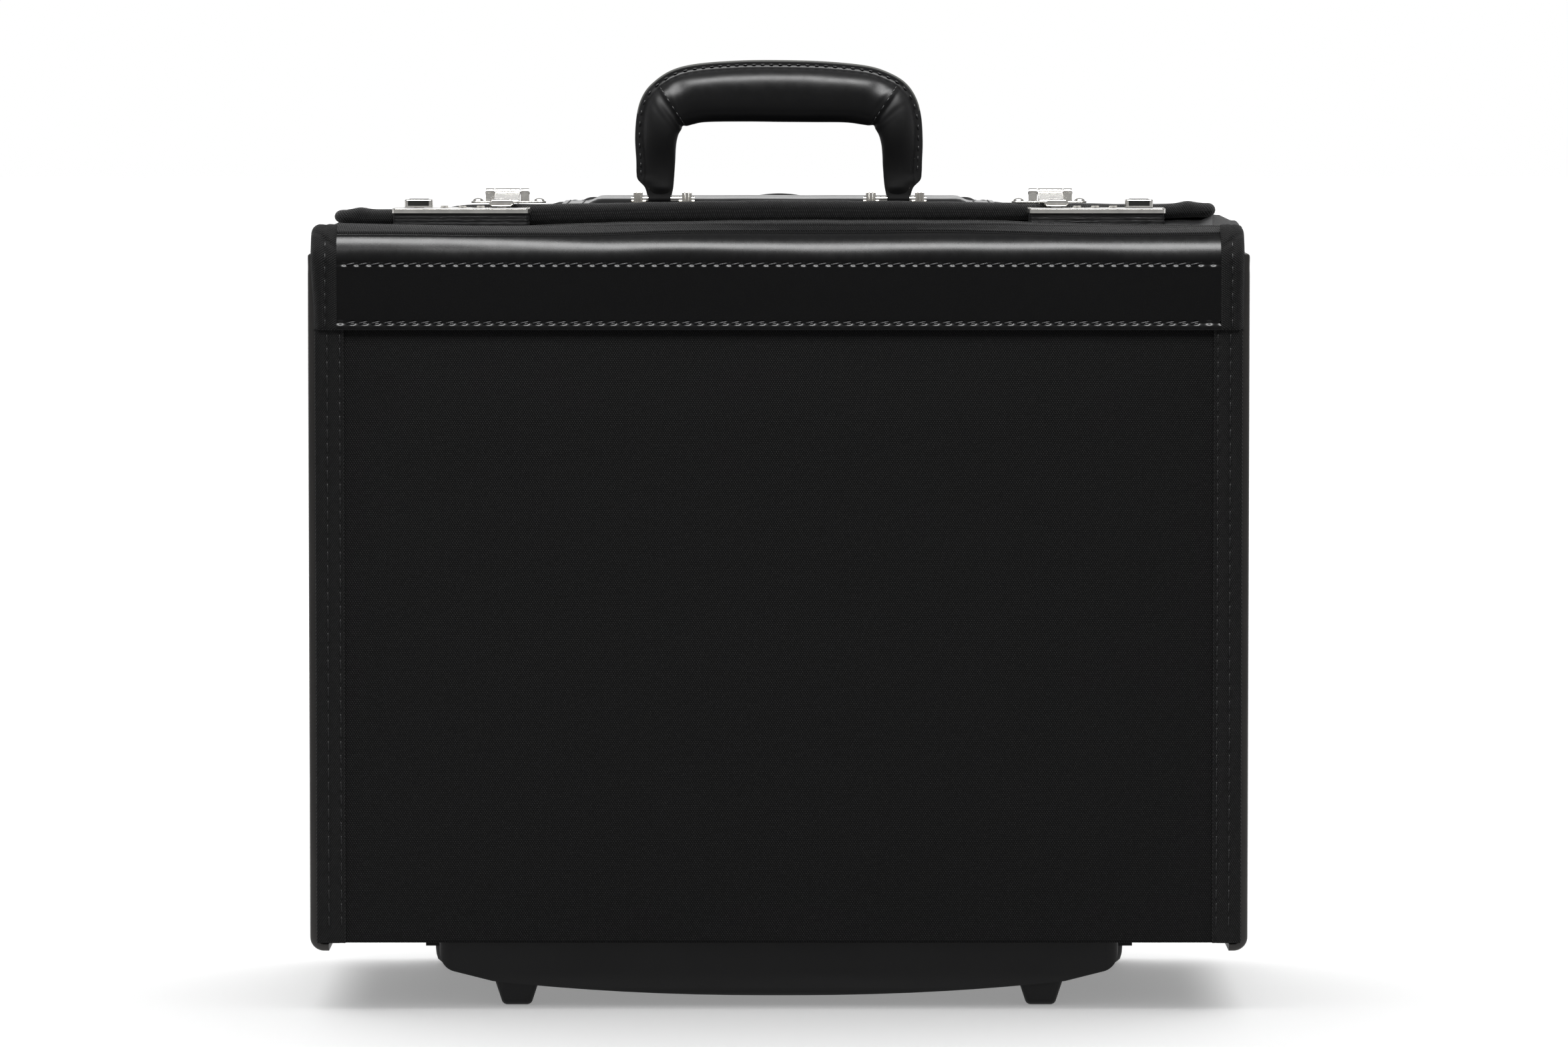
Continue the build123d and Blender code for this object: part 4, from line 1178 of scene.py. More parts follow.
def flap_edge():
    """The tape round the flap, with a raised bar along its front."""
    low, high = limits("flap_binding")
    bar_back = 21.0
    inner_x, inner_front, inner_back = 217.5, 24.0, 57.0
    rim = np.array([0, 0.3, 0.8])
    across = np.linspace(low[0] + 1.5, high[0] - 1.5, 340)
    us = merged(across, low[0] + rim, high[0] - rim, [-inner_x, inner_x])
    bar_rows = [13, 13.12, 13.35, 13.8, 14.3, 15.0, 15.4, 15.6, 16.0, 16.6, 17.0, 17.3, 18, 19, 20]
    behind_bar = [20.5, bar_back, 21.4]
    spans = ((22, inner_front, 4), (inner_front, inner_back, 12), (inner_back, high[1], 8))
    spread = [np.linspace(*span) for span in spans]
    vs = merged(bar_rows, behind_bar, *spread, [high[1] - 0.3, high[1] - 0.1])

    def outside(u, v):
        flat = flap_height(u, v) + 0.06 * ripple(u + 5 * v, 84, 19)
        crest = smoothstep(v, 15.2, 15.8) * (1 - smoothstep(v, 17.0, 17.6))
        bar = RIDGE(u) + 0.14 * ripple(u, 83, 44) - 0.7 * (1 - crest)
        share = 1 - smoothstep(v, bar_back - 1.8, bar_back + 0.3)
        height = flat * (1 - share) + bar * share
        ends = end_distance(u, us)
        return height - eased(v - vs[0], 1.9) - eased(ends, 1.6) - eased(vs[-1] - v, 1.4)

    def under(u, v):
        return low[2] + 0.5 * eased(v - vs[0], 1.4) + 0.5 * eased(end_distance(u, us), 1.4)

    def keep(u, v):
        return ~((abs(u) < inner_x) & (v > inner_front) & (v < inner_back))

    # The flap's tape takes the lighter copy of the binding tape: painted highlight.
    tape = slab("flap_edge", us, vs, under, outside, facing_up, [TAPE_PAINTED_HIGHLIGHT], keep)
    show(tape, "front_flap", "binding_tape", "flap_binding")


# ---------------------------------------------------------------------- the lid


LID_TOP = measured(
    4, (-232, 399.5), (-172, 399.8), (-168, 400.2), (-160, 402.2), (-118, 402.4), (-87, 402.8),
    (-30, 404.0), (0, 404.2), (60, 403.9), (91, 403.5), (120, 403.0), (191, 402.3), (205, 402.9),
    (232, 402.9),
)
LID_BOTTOM = measured(
    5, (-232, 393.2), (-222, 392.6), (-212, 391.9), (-194, 391.5), (-121, 392.0), (-87, 392.8),
    (0, 393.6), (91, 393.8), (120, 394.2), (191, 394.9), (206, 395.5), (232, 396.2),
)
LID_FRONT = 60
EYE_SLOPE = 0.026


def lid_right_edge(depth):
    return 221.0 + 2 * float(smoothstep(depth, 75, 140))


def lid_outline():
    """Points round the lid's edge from back left to back right, each with its outward way."""
    low, high = limits("lid_binding")
    left, front, back, corner = -225.0, low[1], high[1], 6.5
    right = lid_right_edge(front)

    def rounded_corner(x, side, start):
        points = []
        for angle in np.radians(np.linspace(start, start + 90, 14)):
            turn = (math.cos(angle), math.sin(angle))
            middle_x = x - side * corner
            points.append((middle_x + corner * turn[0], front + corner + corner * turn[1], *turn))
        return points

    path = [(left, depth, -1, 0) for depth in np.linspace(back, front + corner, 52, endpoint=False)]
    path += rounded_corner(left, -1, 180)
    path += [(x, front, 0, -1) for x in np.linspace(left + corner, right - corner, 240)[1:-1]]
    path += rounded_corner(right, 1, 270)
    for depth in np.linspace(front + corner, back, 53)[1:]:
        path.append((lid_right_edge(depth), depth, 1, 0))
    return path


def lid_edge():
    """The fat rolled tape round the lid, which sinks towards the back where its ends sag."""
    rows = []
    for x, depth, out_x, out_depth in lid_outline():
        fold = 1.1 * dip(x + 212, 3.2) + 1.1 * dip(x - 207, 3.2) if depth < 62 else 0
        uneven = 0.14 * float(ripple(x + 0.7 * depth, 91, 37))
        top = LID_TOP(x) + fold - EYE_SLOPE * max(0, depth - LID_FRONT) + uneven
        bottom = LID_BOTTOM(x) + 0.08 * float(ripple(x + depth, 92, 41))
        bottom = min(bottom, top - 4.2)
        tall = top - bottom
        curve = min(tall / 2, 3.2)
        section = arc((curve, bottom + curve), curve, 270, 180, 7)
        section += arc((curve, top - curve), curve, 180, 90, 7)
        belly = [0.35 * math.sin(math.pi * (point[1] - bottom) / tall) for point in section]
        section = [(inward - out, z) for (inward, z), out in zip(section, belly)]
        section += [(6.5, top), (8.5, top - 0.1), (10.6, top - 0.4), (11.6, top - 0.9), (12, top - 1.6)]
        section += [(12, bottom + 1.0), (11.7, bottom + 0.2), (9, bottom), (6.8, bottom)]
        row = [(x - out_x * inward, depth - out_depth * inward, z) for inward, z in section]
        rows.append(row)
    # The lid's rolled tape takes the lighter copy of the binding tape: painted highlight.
    roll = loft("lid_edge", rows, TAPE_PAINTED_HIGHLIGHT)
    show(roll, "lid", "binding_tape", "lid_binding")


def lid_top():
    low, high = limits("lid_board")
    us = grid_lines(-214.5, 210.5, 6)
    vs = grid_lines(65, high[1], 6)

    def outside(u, v):
        flat = high[2] + 0.25 + 0.3 * smoothstep(rim_distance(u, v, us, vs), 5, 45)
        hidden = LID_TOP(u) - 0.7 - EYE_SLOPE * (v - LID_FRONT)
        share = smoothstep(abs(u), *PANEL_SIDE)
        return flat + share * (np.minimum(flat, hidden) - flat)

    def inside(u, v):
        return np.minimum(low[2] + 0.1, outside(u, v) - 3.0)

    board = slab("lid_top", us, vs, inside, outside, facing_up, [NYLON, LINING, TAPE])
    show(board, "lid", "ballistic_nylon", "lid_board")


def lid_panel():
    """The leather panel under the handle, with a padded cushion sewn into it."""
    low, high = limits("lid_leather_panel")
    us = grid_lines(low[0], high[0], 2.2, 1.2)
    vs = grid_lines(low[1], high[1], 1.8, 1.2)
    sheet_low, sheet_top = 400.5, 401.2
    pad_half, pad_front, pad_back = 100.0, 98.0, 190.0
    rim_row, pad_row = 3.0, 1.2

    def outside(u, v):
        inset = np.minimum(pad_half - abs(u), np.minimum(v - pad_front, pad_back - v))
        rise = smoothstep(inset, 0, 8.5)
        fullness = 0.55 * smoothstep(inset, 6, 34) * smoothstep(v, 140, 160)
        fullness = fullness + 0.08 * ripple(u, 95, 55)
        cushion = (3.0 + fullness) * rise
        pad_seam = -0.35 * dip(inset + pad_row, 0.7)
        rim = rim_distance(u, v, us, vs)
        rim_seam = -0.3 * dip(rim - rim_row, 0.6)
        return sheet_top + cushion + pad_seam + rim_seam - eased(rim, 0.6)

    panel = slab("lid_panel", us, vs, sheet_low, outside, facing_up, [PANEL_LEATHER])
    show(panel, "lid", "leather", "lid_leather_panel")
    places = []
    round_sheet = (*(low[:2] + rim_row), *(high[:2] - rim_row), sheet_top - 0.1)
    round_pad = (
        -pad_half - pad_row, pad_front - pad_row, pad_half + pad_row, pad_back + pad_row,
        sheet_top - 0.12,
    )
    for left, front, right, back, z in (round_sheet, round_pad):
        corners = [(left, front, z), (right, front, z), (right, back, z), (left, back, z)]
        for start, end in zip(corners, corners[1:] + corners[:1]):
            places += seam(start, end, 4.6, (0, 0, 1), 6)
    show(stitches("lid_panel_stitches", places, 3.4, 0.3, LEATHER_THREAD, 0.25), "lid", "leather")


# -------------------------------------------------------------- the carry handle

ROD = (80.0, 404.5)
TAB_X = 60.8
WELT = 4.0
SEAM_PLACES = ((-56.4, 451.9), (55.6, 452.4))
HANDLE_OUTER = [
    (-66.9, 406.2), (-68.4, 410.6), (-71.8, 414.4), (-72.5, 418), (-72.6, 424), (-73.2, 436),
    (-72.2, 448), (-69.6, 456.5), (-64.6, 463.2), (-55, 469.8), (-42, 473.2), (-20, 474.9),
    (2, 475.1), (24, 474.4), (44, 472.4), (55, 469.2), (64.0, 464.0), (69.6, 456.4),
    (72.4, 446.5), (73.2, 434), (72.9, 424), (72.7, 418), (72.0, 414.2), (68.5, 410.4),
    (67.0, 406.2),
]
HANDLE_INNER = [
    (-54.4, 406.2), (-53.6, 410.0), (-53.2, 413.6), (-52.9, 418), (-52.5, 424), (-52.2, 430),
    (-51.6, 434.5), (-50.4, 438), (-47.9, 440.6), (-43.2, 442.2), (-36, 443.3), (-16, 443.5),
    (2, 443.3), (18, 443.2), (33, 443.1), (41, 442.2), (47.2, 440.9), (50.2, 437.6),
    (51.8, 432.5), (52.4, 427), (52.6, 422), (52.9, 418), (53.2, 413.6), (53.7, 410.0),
    (54.5, 406.2),
]


def smooth_line(points, count):
    """A smooth curve through control points."""
    points = np.array(points, float)
    points = np.concatenate((2 * points[:1] - points[1:2], points, 2 * points[-1:] - points[-2:-1]))
    spots = []
    for t in np.linspace(0, len(points) - 3 - 1e-6, count):
        i, f = int(t), t - int(t)
        a, b, c, d = points[i:i + 4]
        slope, bow, twist = c - a, 2 * a - 5 * b + 4 * c - d, 3 * b - a - 3 * c + d
        spots.append(0.5 * (2 * b + slope * f + bow * f ** 2 + twist * f ** 3))
    return np.array(spots)


class Handle:
    """The padded grip's sections, each in the plane of an outer and an inner edge point."""

    def __init__(self, count=260):
        self.outer = smooth_line(HANDLE_OUTER, count)
        self.inner = smooth_line(HANDLE_INNER, count)
        middle = (self.outer + self.inner) / 2
        steps = np.linalg.norm(np.diff(middle, axis=0), axis=1)
        self.along = np.concatenate(([0], np.cumsum(steps)))
        self.seams = []
        for target in SEAM_PLACES:
            nearest = np.argmin(np.linalg.norm(middle - target, axis=1))
            self.seams.append(self.along[nearest])

    def frame(self, s):
        """The section's inner point, its outward direction and its width."""
        spots = []
        for edge in (self.inner, self.outer):
            spots.append(np.array([np.interp(s, self.along, edge[:, axis]) for axis in (0, 1)]))
        across = spots[1] - spots[0]
        width = np.linalg.norm(across)
        return spots[0], across / width, width

    def from_end(self, s):
        return min(s, self.along[-1] - s)

    def half_depth(self, s):
        reach = self.from_end(s)
        return 2.9 + 1.2 * smoothstep(reach, 0, 5) + 7.7 * smoothstep(reach, 8, 41)

    def thickness(self, s):
        """Half the thickness of the sewn edge."""
        return min(1.5, 0.27 * self.half_depth(s))

    def half_width(self, s):
        return (self.frame(s)[2] - self.welt(s)) / 2

    def welt(self, s):
        """The sewn edge's width; it fades out at the foot of each leg."""
        return 0.8 + (WELT - 0.8) * smoothstep(self.from_end(s), 3, 12)

    def body(self, s, angle):
        """A point on the padded body; angle 0 is the outer edge and 90 degrees the front."""
        half = self.half_width(s)
        up, side = math.cos(angle), math.sin(angle)
        gap = min(abs(s - seam_at) for seam_at in self.seams)
        on_bar = self.seams[0] < s < self.seams[1]
        beside = dip(gap - 8.5, 3.2) if on_bar else 0.0
        pinch = 1 - 0.07 * dip(gap, 0.9)
        dimple = 1 - 0.13 * beside * dip(up - 0.68, 0.28) - 0.03 * beside * dip(up + 0.7, 0.3)
        crease = 1 + 0.01 * math.sin(1.5 * s + 4 * angle) * dip(gap - 3.5, 2.0)
        soft = 1 + 0.012 * float(ripple(s + 24 * side, 101, 52))
        bar = 1 + (0.03 if on_bar else 0) * smoothstep(gap, 4, 22)
        scale = pinch * dimple * crease * soft * bar
        power = 0.84
        across = half * np.sign(up) * abs(up) ** power
        depth = self.half_depth(s) * np.sign(side) * abs(side) ** power * scale
        if up < 0:
            across *= 1 - 0.06 * dip(gap, 1.4) * 1.5
        closing = 0.72 + 0.28 * math.sqrt(1 - (1 - min(self.from_end(s), 4) / 4) ** 2)
        return across, depth * closing

    def place(self, s, across, depth):
        """A point from its distance beyond the body's middle and its depth in front of the rods."""
        inner, direction, width = self.frame(s)
        spot = inner + direction * ((width - self.welt(s)) / 2 + across)
        return np.array((spot[0], ROD[0] - depth, spot[1]))

    def section(self, s):
        welt = self.welt(s)
        half, thick = self.half_width(s), self.thickness(s)
        flange = [(1.0, 0.2), (0.94, 0.75), (0.8, 1.0), (0.5, 1.02), (0.22, 1.05)]
        flange = [(half + welt * share, thick * part) for share, part in flange]
        turn = np.radians(np.linspace(15, 165, 26))
        front = flange + [self.body(s, angle) for angle in turn]
        back = [(across, -depth) for across, depth in flange[::-1]]
        rear = [self.body(s, -angle) for angle in turn[::-1]]
        return [self.place(s, across, depth) for across, depth in front + rear + back]


def strap_loop(name, centre_x):
    """The leather tab that folds round the core's eye under one leg."""
    inner, outer, neck = 2.45, 3.1, 2.3
    profile = [(ROD[0] - neck - 0.3, 410), (ROD[0] - neck - 0.2, 407.6)]
    profile += arc(ROD, outer, 165, 375, 22)
    profile += [(ROD[0] + neck + 0.2, 407.6), (ROD[0] + neck + 0.3, 410)]
    profile += [(ROD[0] + 1.1, 410), (ROD[0] + 1.1, 407.2)]
    profile += arc(ROD, inner, 386, 154, 22)
    profile += [(ROD[0] - 1.1, 407.2), (ROD[0] - 1.1, 410)]
    half = 5.7
    return prism(name, profile, 0, (centre_x - half, centre_x + half), HANDLE_LEATHER, 0.25)


def carry_handle():
    handle = Handle()
    rows = [handle.section(s) for s in handle.along]
    grip = loft("handle_leather", rows, HANDLE_LEATHER)
    grip.data.materials.append(LEG_LEATHER)
    grip.data.materials.append(CUT_EDGE_AND_HIGHLIGHT)
    width = len(rows[0])
    welt_edge = (0, 1, width - 3, width - 2, width - 1)
    first_seam, last_seam = handle.seams
    # Along the bar, the sewn edge's outermost faces take the pale edge leather: raw edge colour and a
    # painted highlight on the top.
    for polygon in grip.data.polygons[:width * (len(rows) - 1)]:
        s, place = handle.along[polygon.index // width], polygon.index % width
        if place in welt_edge and first_seam - 12 < s < last_seam + 12:
            polygon.material_index = 2
        else:
            polygon.material_index = 0 if first_seam < s < last_seam else 1
    grip.data.set_sharp_from_angle(angle=math.radians(60))
    loops = [strap_loop(f"handle_loop_{name}", side * TAB_X) for name, side in SIDES.items()]
    show(grip, "carry_handle", "leather", "handle_grip")
    for loop in loops:
        show(loop, "carry_handle", "leather")
    places = []
    pitch = 4.1
    for side in (1, -1):
        for s in np.arange(12, handle.along[-1] - 11, pitch):
            thick = handle.thickness(s)
            middle, ahead = [
                handle.place(spot, handle.half_width(spot) + 1.7, side * thick)
                for spot in (s, s + 1)
            ]
            places.append((middle, ahead - middle, (0, -side, 0)))

    def on_body(s, angle):
        return handle.place(s, *handle.body(s, angle))

    for seam_at, shift in zip(handle.seams, (2.0, -2.0)):
        s = seam_at + shift
        for side in (1, -1):
            for angle in np.radians(np.arange(24, 158, 17)):
                spot = on_body(s, side * angle)
                after = on_body(s, side * (angle + 0.05))
                ahead = on_body(s + 0.5, side * angle)
                outward = np.cross(after - spot, ahead - spot)
                if outward[1] * side > 0:
                    outward = -outward
                places.append((spot, after - spot, outward))
    show(stitches("handle_stitches", places, 2.9, 0.34, LEATHER_THREAD, 0.4), "carry_handle", "leather")


def handle_posts():
    """Fluted posts with flat feet, four of them."""
    top = limits("handle_posts")[1][2]
    foot_z = 401.2
    flutes = 3
    posts = []
    for side in SIDES.values():
        for inner, outer in ((44.0, 49.6), (69.0, 74.2)):
            middle = side * (inner + outer) / 2
            half, depth = (outer - inner) / 2, 4.5
            face = []
            pitch = 2 * half / flutes
            for flute in range(flutes):
                left = -half + flute * pitch
                face += [(left + 0.18 * pitch, -depth), (left + 0.82 * pitch, -depth)]
                if flute < flutes - 1:
                    face += [(left + 0.9 * pitch, -depth + 0.4), (left + 1.1 * pitch, -depth + 0.4)]
            outline = face + [(-x, -y) for x, y in face]
            outline = [(middle + x, ROD[0] + y) for x, y in outline]
            posts.append(prism("post", outline, 2, (foot_z + 0.4, top), NICKEL, 0.3))
            foot = rounded_rectangle(half + 1.5, depth + 1.5, 1.6)
            foot = [(middle + x, ROD[0] + y) for x, y in foot]
            posts.append(prism("foot", foot, 2, (foot_z, foot_z + 1.0), NICKEL, 0.3))
    show(joined("fluted_posts", posts), "lid", "nickel", "handle_posts")


# --------------------------------------------------------------------- the locks


def mirrored(side, low, high):
    """A pair of X limits on one side of the middle, in rising order."""
    return tuple(sorted((side * low, side * high)))


def lock_pad(name, side):
    """The block of stacked, polished leather that a lock sits in."""
    low, high = 391.3, 398.55
    centre = (side * 160, 42)
    rows = []
    for z in np.linspace(low, high, 16):
        layer = 0.16 * float(ripple(z * 9, 111 + side, 13)) - 0.25 * (z - low) / (high - low)
        outline = rounded_rectangle(34 + layer, 14 + layer, 1.6, 5)
        rows.append([(centre[0] + a, centre[1] + b, z) for a, b in outline])
    pad = loft(f"lock_pad_{name}", rows, PAD_LEATHER)
    a, b = mirrored(side, 134, 190)
    chamber = box("chamber", (a, 37, low - 1), (b, 51, high + 1), PAD_LEATHER, 0)
    cut_out(pad, chamber)
    pad.data.set_sharp_from_angle(angle=math.radians(40))
    project_uv(pad)
    show(pad, "front_flap", "leather", "lock_pads")


def cut_out(piece, tool):
    """Cuts one closed piece out of another."""
    cutter = piece.modifiers.new("cut", "BOOLEAN")
    cutter.operation, cutter.solver, cutter.object = "DIFFERENCE", "EXACT", tool
    bpy.context.view_layer.update()
    bake_modifiers(piece)
    bpy.data.objects.remove(tool)


def slider_inset(name, side):
    """The dark insert in a slide knob's face, between its plated ends."""
    x = mirrored(side, 176.3, 186.9)
    face = box("face", (x[0], 37.75, 401.9), (x[1], 38.6, 404.7), INSET, 0.25)
    shade = box("top", (x[0] + 0.4, 39.2, 405.1), (x[1] - 0.4, 48.8, 405.5), INSET, 0.15)
    show(joined(f"slider_inset_{name}", [face, shade]), f"slider_{name}", "moulded_plastic")


HASP_AXIS = (62.0, 408.4)


def hasp_barrel(name, x, half_length):
    """A length of the hasp's hinge barrel, midway between two X limits."""
    return turned(name, disc_profile(half_length, 2.0), (sum(x) / 2, *HASP_AXIS), 0, CHROME, 36)


def hasp(name, side):
    """The hinged arm: barrel, plate with turned-down cheeks, faceted thumb piece and hook."""
    axis_depth = HASP_AXIS[0]
    x = mirrored(side, 131.1, 143.8)
    barrel = hasp_barrel("barrel", x, 6.3)
    plate = [(axis_depth, 409.0), (axis_depth - 2.2, 408.7), (43, 405.3), (42, 404.1)]
    plate += [(42.6, 403.9), (axis_depth, 407.4)]
    pieces = [barrel, prism("plate", plate, 0, (x[0] + 0.1, x[1] - 0.1), CHROME, 0.25)]
    cheek = [(axis_depth - 0.4, 408), (axis_depth - 1.2, 406.2), (57.2, 404.0)]
    cheek += [(48.5, 402.9), (46.5, 404.9)]
    for edge in (x[0] + 0.1, x[1] - 1.0):
        pieces.append(prism("cheek", cheek, 0, (edge, edge + 0.9), CHROME, 0.2))
    a, b = mirrored(side, 133.2, 146.4)
    thumb = [(a, 403.5), (a + 1.9, 405.5), (b - 1.9, 405.5), (b, 403.5)]
    thumb += [(b - 1.6, 401.65), (a + 1.6, 401.65)]
    pieces.append(prism("thumb", thumb, 1, (36.0, 44.0), CHROME, 0.75, 1))
    c, d = mirrored(side, 137.3, 142.3)
    pieces.append(box("hook", (c, 42, 398.7), (d, 45, 404.4), CHROME, 0.2))
    show(joined(f"hasp_{name}", pieces), f"hasp_{name}", "chrome", f"hasp_arm_{name}")


def hasp_bracket(name, side):
    """The hinge plate on the lid, with its outer knuckles and domed rivets."""
    low, high = limits(f"hasp_bracket_{name}")
    middle_x, middle_depth = (low[0] + high[0]) / 2, 65
    plate_low = low[2]
    outline = rounded_rectangle((high[0] - low[0]) / 2, 5.0, 3.2, 6)
    plate = [(middle_x + a, middle_depth + b) for a, b in outline]
    pieces = [prism("plate", plate, 2, (plate_low, plate_low + 1.0), CHROME, 0.3)]
    ear = [(60.05, 403.6), (63.95, 403.6), (63.95, 408.4), (60.05, 408.4)]
    for knuckle in ((126.5, 130.8), (144.1, 148.5)):
        x = mirrored(side, *knuckle)
        pieces.append(hasp_barrel("knuckle", x, (x[1] - x[0]) / 2))
        pieces.append(prism("ear", ear, 0, x, CHROME, 0.25))
    dome = [(0.9, 2.75), (1.2, 2.72), (1.9, 2.3), (2.35, 1.4), (2.5, 0.0)]
    for rivet_x in (121.5, 152.5):
        rivet = turned("rivet", dome, (side * rivet_x, middle_depth, plate_low), 2, CHROME, 28)
        pieces.append(rivet)
    show(joined(f"hasp_hinge_{name}", pieces), "lid", "chrome", f"hasp_bracket_{name}")


STROKES = {
    0: "abcdef", 1: "bc", 2: "abged", 3: "abgcd", 4: "fgbc",
    5: "afgcd", 6: "afgedc", 7: "abc", 8: "abcdefg", 9: "abcdfg",
}
STROKE_ENDS = {
    "a": ((-1, 2), (1, 2)), "b": ((1, 2), (1, 0)), "c": ((1, 0), (1, -2)), "d": ((-1, -2), (1, -2)),
    "e": ((-1, 0), (-1, -2)), "f": ((-1, 2), (-1, 0)), "g": ((-1, 0), (1, 0)),
}


def dial_numbers(name, node, body):
    """The ten numbers round a dial, inlaid as thin raised strokes."""
    low, high = limits(node)
    centre_x = (low[0] + high[0]) / 2
    spindle_depth, spindle_z = 44.0, 397.2
    radius, thick = 4.76, 0.13
    sides = ((0, 1, 2, 3), (4, 7, 6, 5), (0, 4, 5, 1), (1, 5, 6, 2), (2, 6, 7, 3), (3, 7, 4, 0))
    points, faces, uvs = [], [], []
    for number, strokes in STROKES.items():
        heading = math.radians(90 + number * 36)
        for stroke in strokes:
            (a1, b1), (a2, b2) = STROKE_ENDS[stroke]
            a_low, a_high = min(a1, a2) * 0.5 - thick, max(a1, a2) * 0.5 + thick
            b_low, b_high = min(b1, b2) * 0.42 - thick, max(b1, b2) * 0.42 + thick
            base = len(points)
            for reach in (radius - 0.12, radius + 0.06):
                for a, b in ((a_low, b_low), (a_high, b_low), (a_high, b_high), (a_low, b_high)):
                    angle = heading - b / radius
                    depth = spindle_depth - reach * math.cos(angle)
                    points.append((centre_x + a, depth, spindle_z + reach * math.sin(angle)))
            for quad in sides:
                faces.append(tuple(base + corner for corner in quad))
                uvs += [(0, 0)] * 4
    numbers = new_piece(name, points, faces, uvs, PRINT_AND_SHADE)
    edit(numbers, turn_outward)
    numbers.data.polygons.foreach_set("use_smooth", [False] * len(numbers.data.polygons))
    project_uv(numbers)
    show(numbers, body, "dial_brass")


# ----------------------------------------------------- wheels, trolley and screws


def wheel(name, side):
    """A urethane tyre with two grooves, on a moulded hub with five spokes."""
    centre = (side * 170.0, 195.0, 32.0)
    tread = [(-9.6, 20.0), (-10, 20.6), (-10, 27.5), (-9.3, 29.8), (-7.2, 31.5), (-4.4, 31.95)]
    tread += [(-4.1, 31.2), (-3.3, 31.2), (-3.0, 32.0)]
    tread += mirrored_end(tread) + tread[:1]
    tyre = turned(f"tyre_grooved_{name}", tread, centre, 0, RUBBER, 72)
    show(tyre, f"wheel_{name}", "wheel_tyre", f"tyre_{name}")
    rim = [(-9.2, 17.2), (-9.6, 17.8), (-9.6, 19.6), (-9.2, 20.0)]
    rim += mirrored_end(rim) + [(2, 16.6), (-2, 16.6)] + rim[:1]
    boss = [(-9.8, 11.0), (-9.8, 12.6), (-9.3, 13.1)]
    boss += mirrored_end(boss) + [(2.9, 11.0), (2.9, 9.0), (-2.9, 9.0), (-2.9, 11.0)] + boss[:1]
    pieces = [turned("rim", rim, centre, 0, PLASTIC, 64), turned("boss", boss, centre, 0, PLASTIC, 48)]
    to_axle = Matrix.Translation(Vector((0, -FRONT * MM, 0)))
    to_hub = Matrix.Translation(Vector(to_frame((0, centre[1], centre[2]))[0]))
    for spoke in range(5):
        low, high = (centre[0] - 6.5, -2.1, 12.4), (centre[0] + 6.5, 2.1, 17.8)
        arm = box("spoke", low, high, PLASTIC, 0.7)
        arm.data.transform(to_axle)
        arm.data.transform(to_hub @ Matrix.Rotation(math.radians(72 * spoke + 18), 4, "X"))
        pieces.append(arm)
    show(joined(f"hub_spoked_{name}", pieces), f"wheel_{name}", "moulded_plastic", f"hub_{name}")


def screws(name, places, radius, axis, outward, body, slot, material):
    """Pan-head screws, one piece, each with a dark cross laid on its head: painted shade standing in
    for a cross recess.
    """
    dome = [(-0.3, 1), (0.25, 1), (0.7, 0.86), (1.0, 0.55), (1.05, 0.36), (0.5, 0.1), (0.5, 0)]
    dome = [(outward * rise, radius * share) for rise, share in dome]
    pieces = []
    for centre in places:
        pieces.append(turned("head", dome, centre, axis, material, 24))
        # Two thin dark bars across each head: painted shade for the cross recess.
        for long, short in (others(axis), others(axis)[::-1]):
            low, high = np.array(centre, float), np.array(centre, float)
            low[long] -= radius * 0.6
            high[long] += radius * 0.6
            low[short] -= radius * 0.13
            high[short] += radius * 0.13
            low[axis] += 0.98 if outward > 0 else -1.12
            high[axis] += 1.12 if outward > 0 else -0.98
            pieces.append(box("recess", low, high, PRINT_AND_SHADE, 0))
    show(joined(name, pieces), body, slot)


def grip_ribs():
    """Finger ribs under and behind the trolley grip's bar."""
    ribs = []
    for step in range(-7, 8):
        x = step * 9.0
        ribs.append(box("rib", (x - 1.3, 239.4, 387), (x + 1.3, 240.7, 398.5), PLASTIC, 0.5))
    show(joined("grip_ribs", ribs), "trolley_handle", "moulded_plastic")


# -------------------------------------------------------------- putting it together


def paint_node(material, *nodes):
    """Gives CAD nodes that keep their own shape a procedural material."""
    for node in nodes:
        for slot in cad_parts[node].material_slots:
            slot.material = material


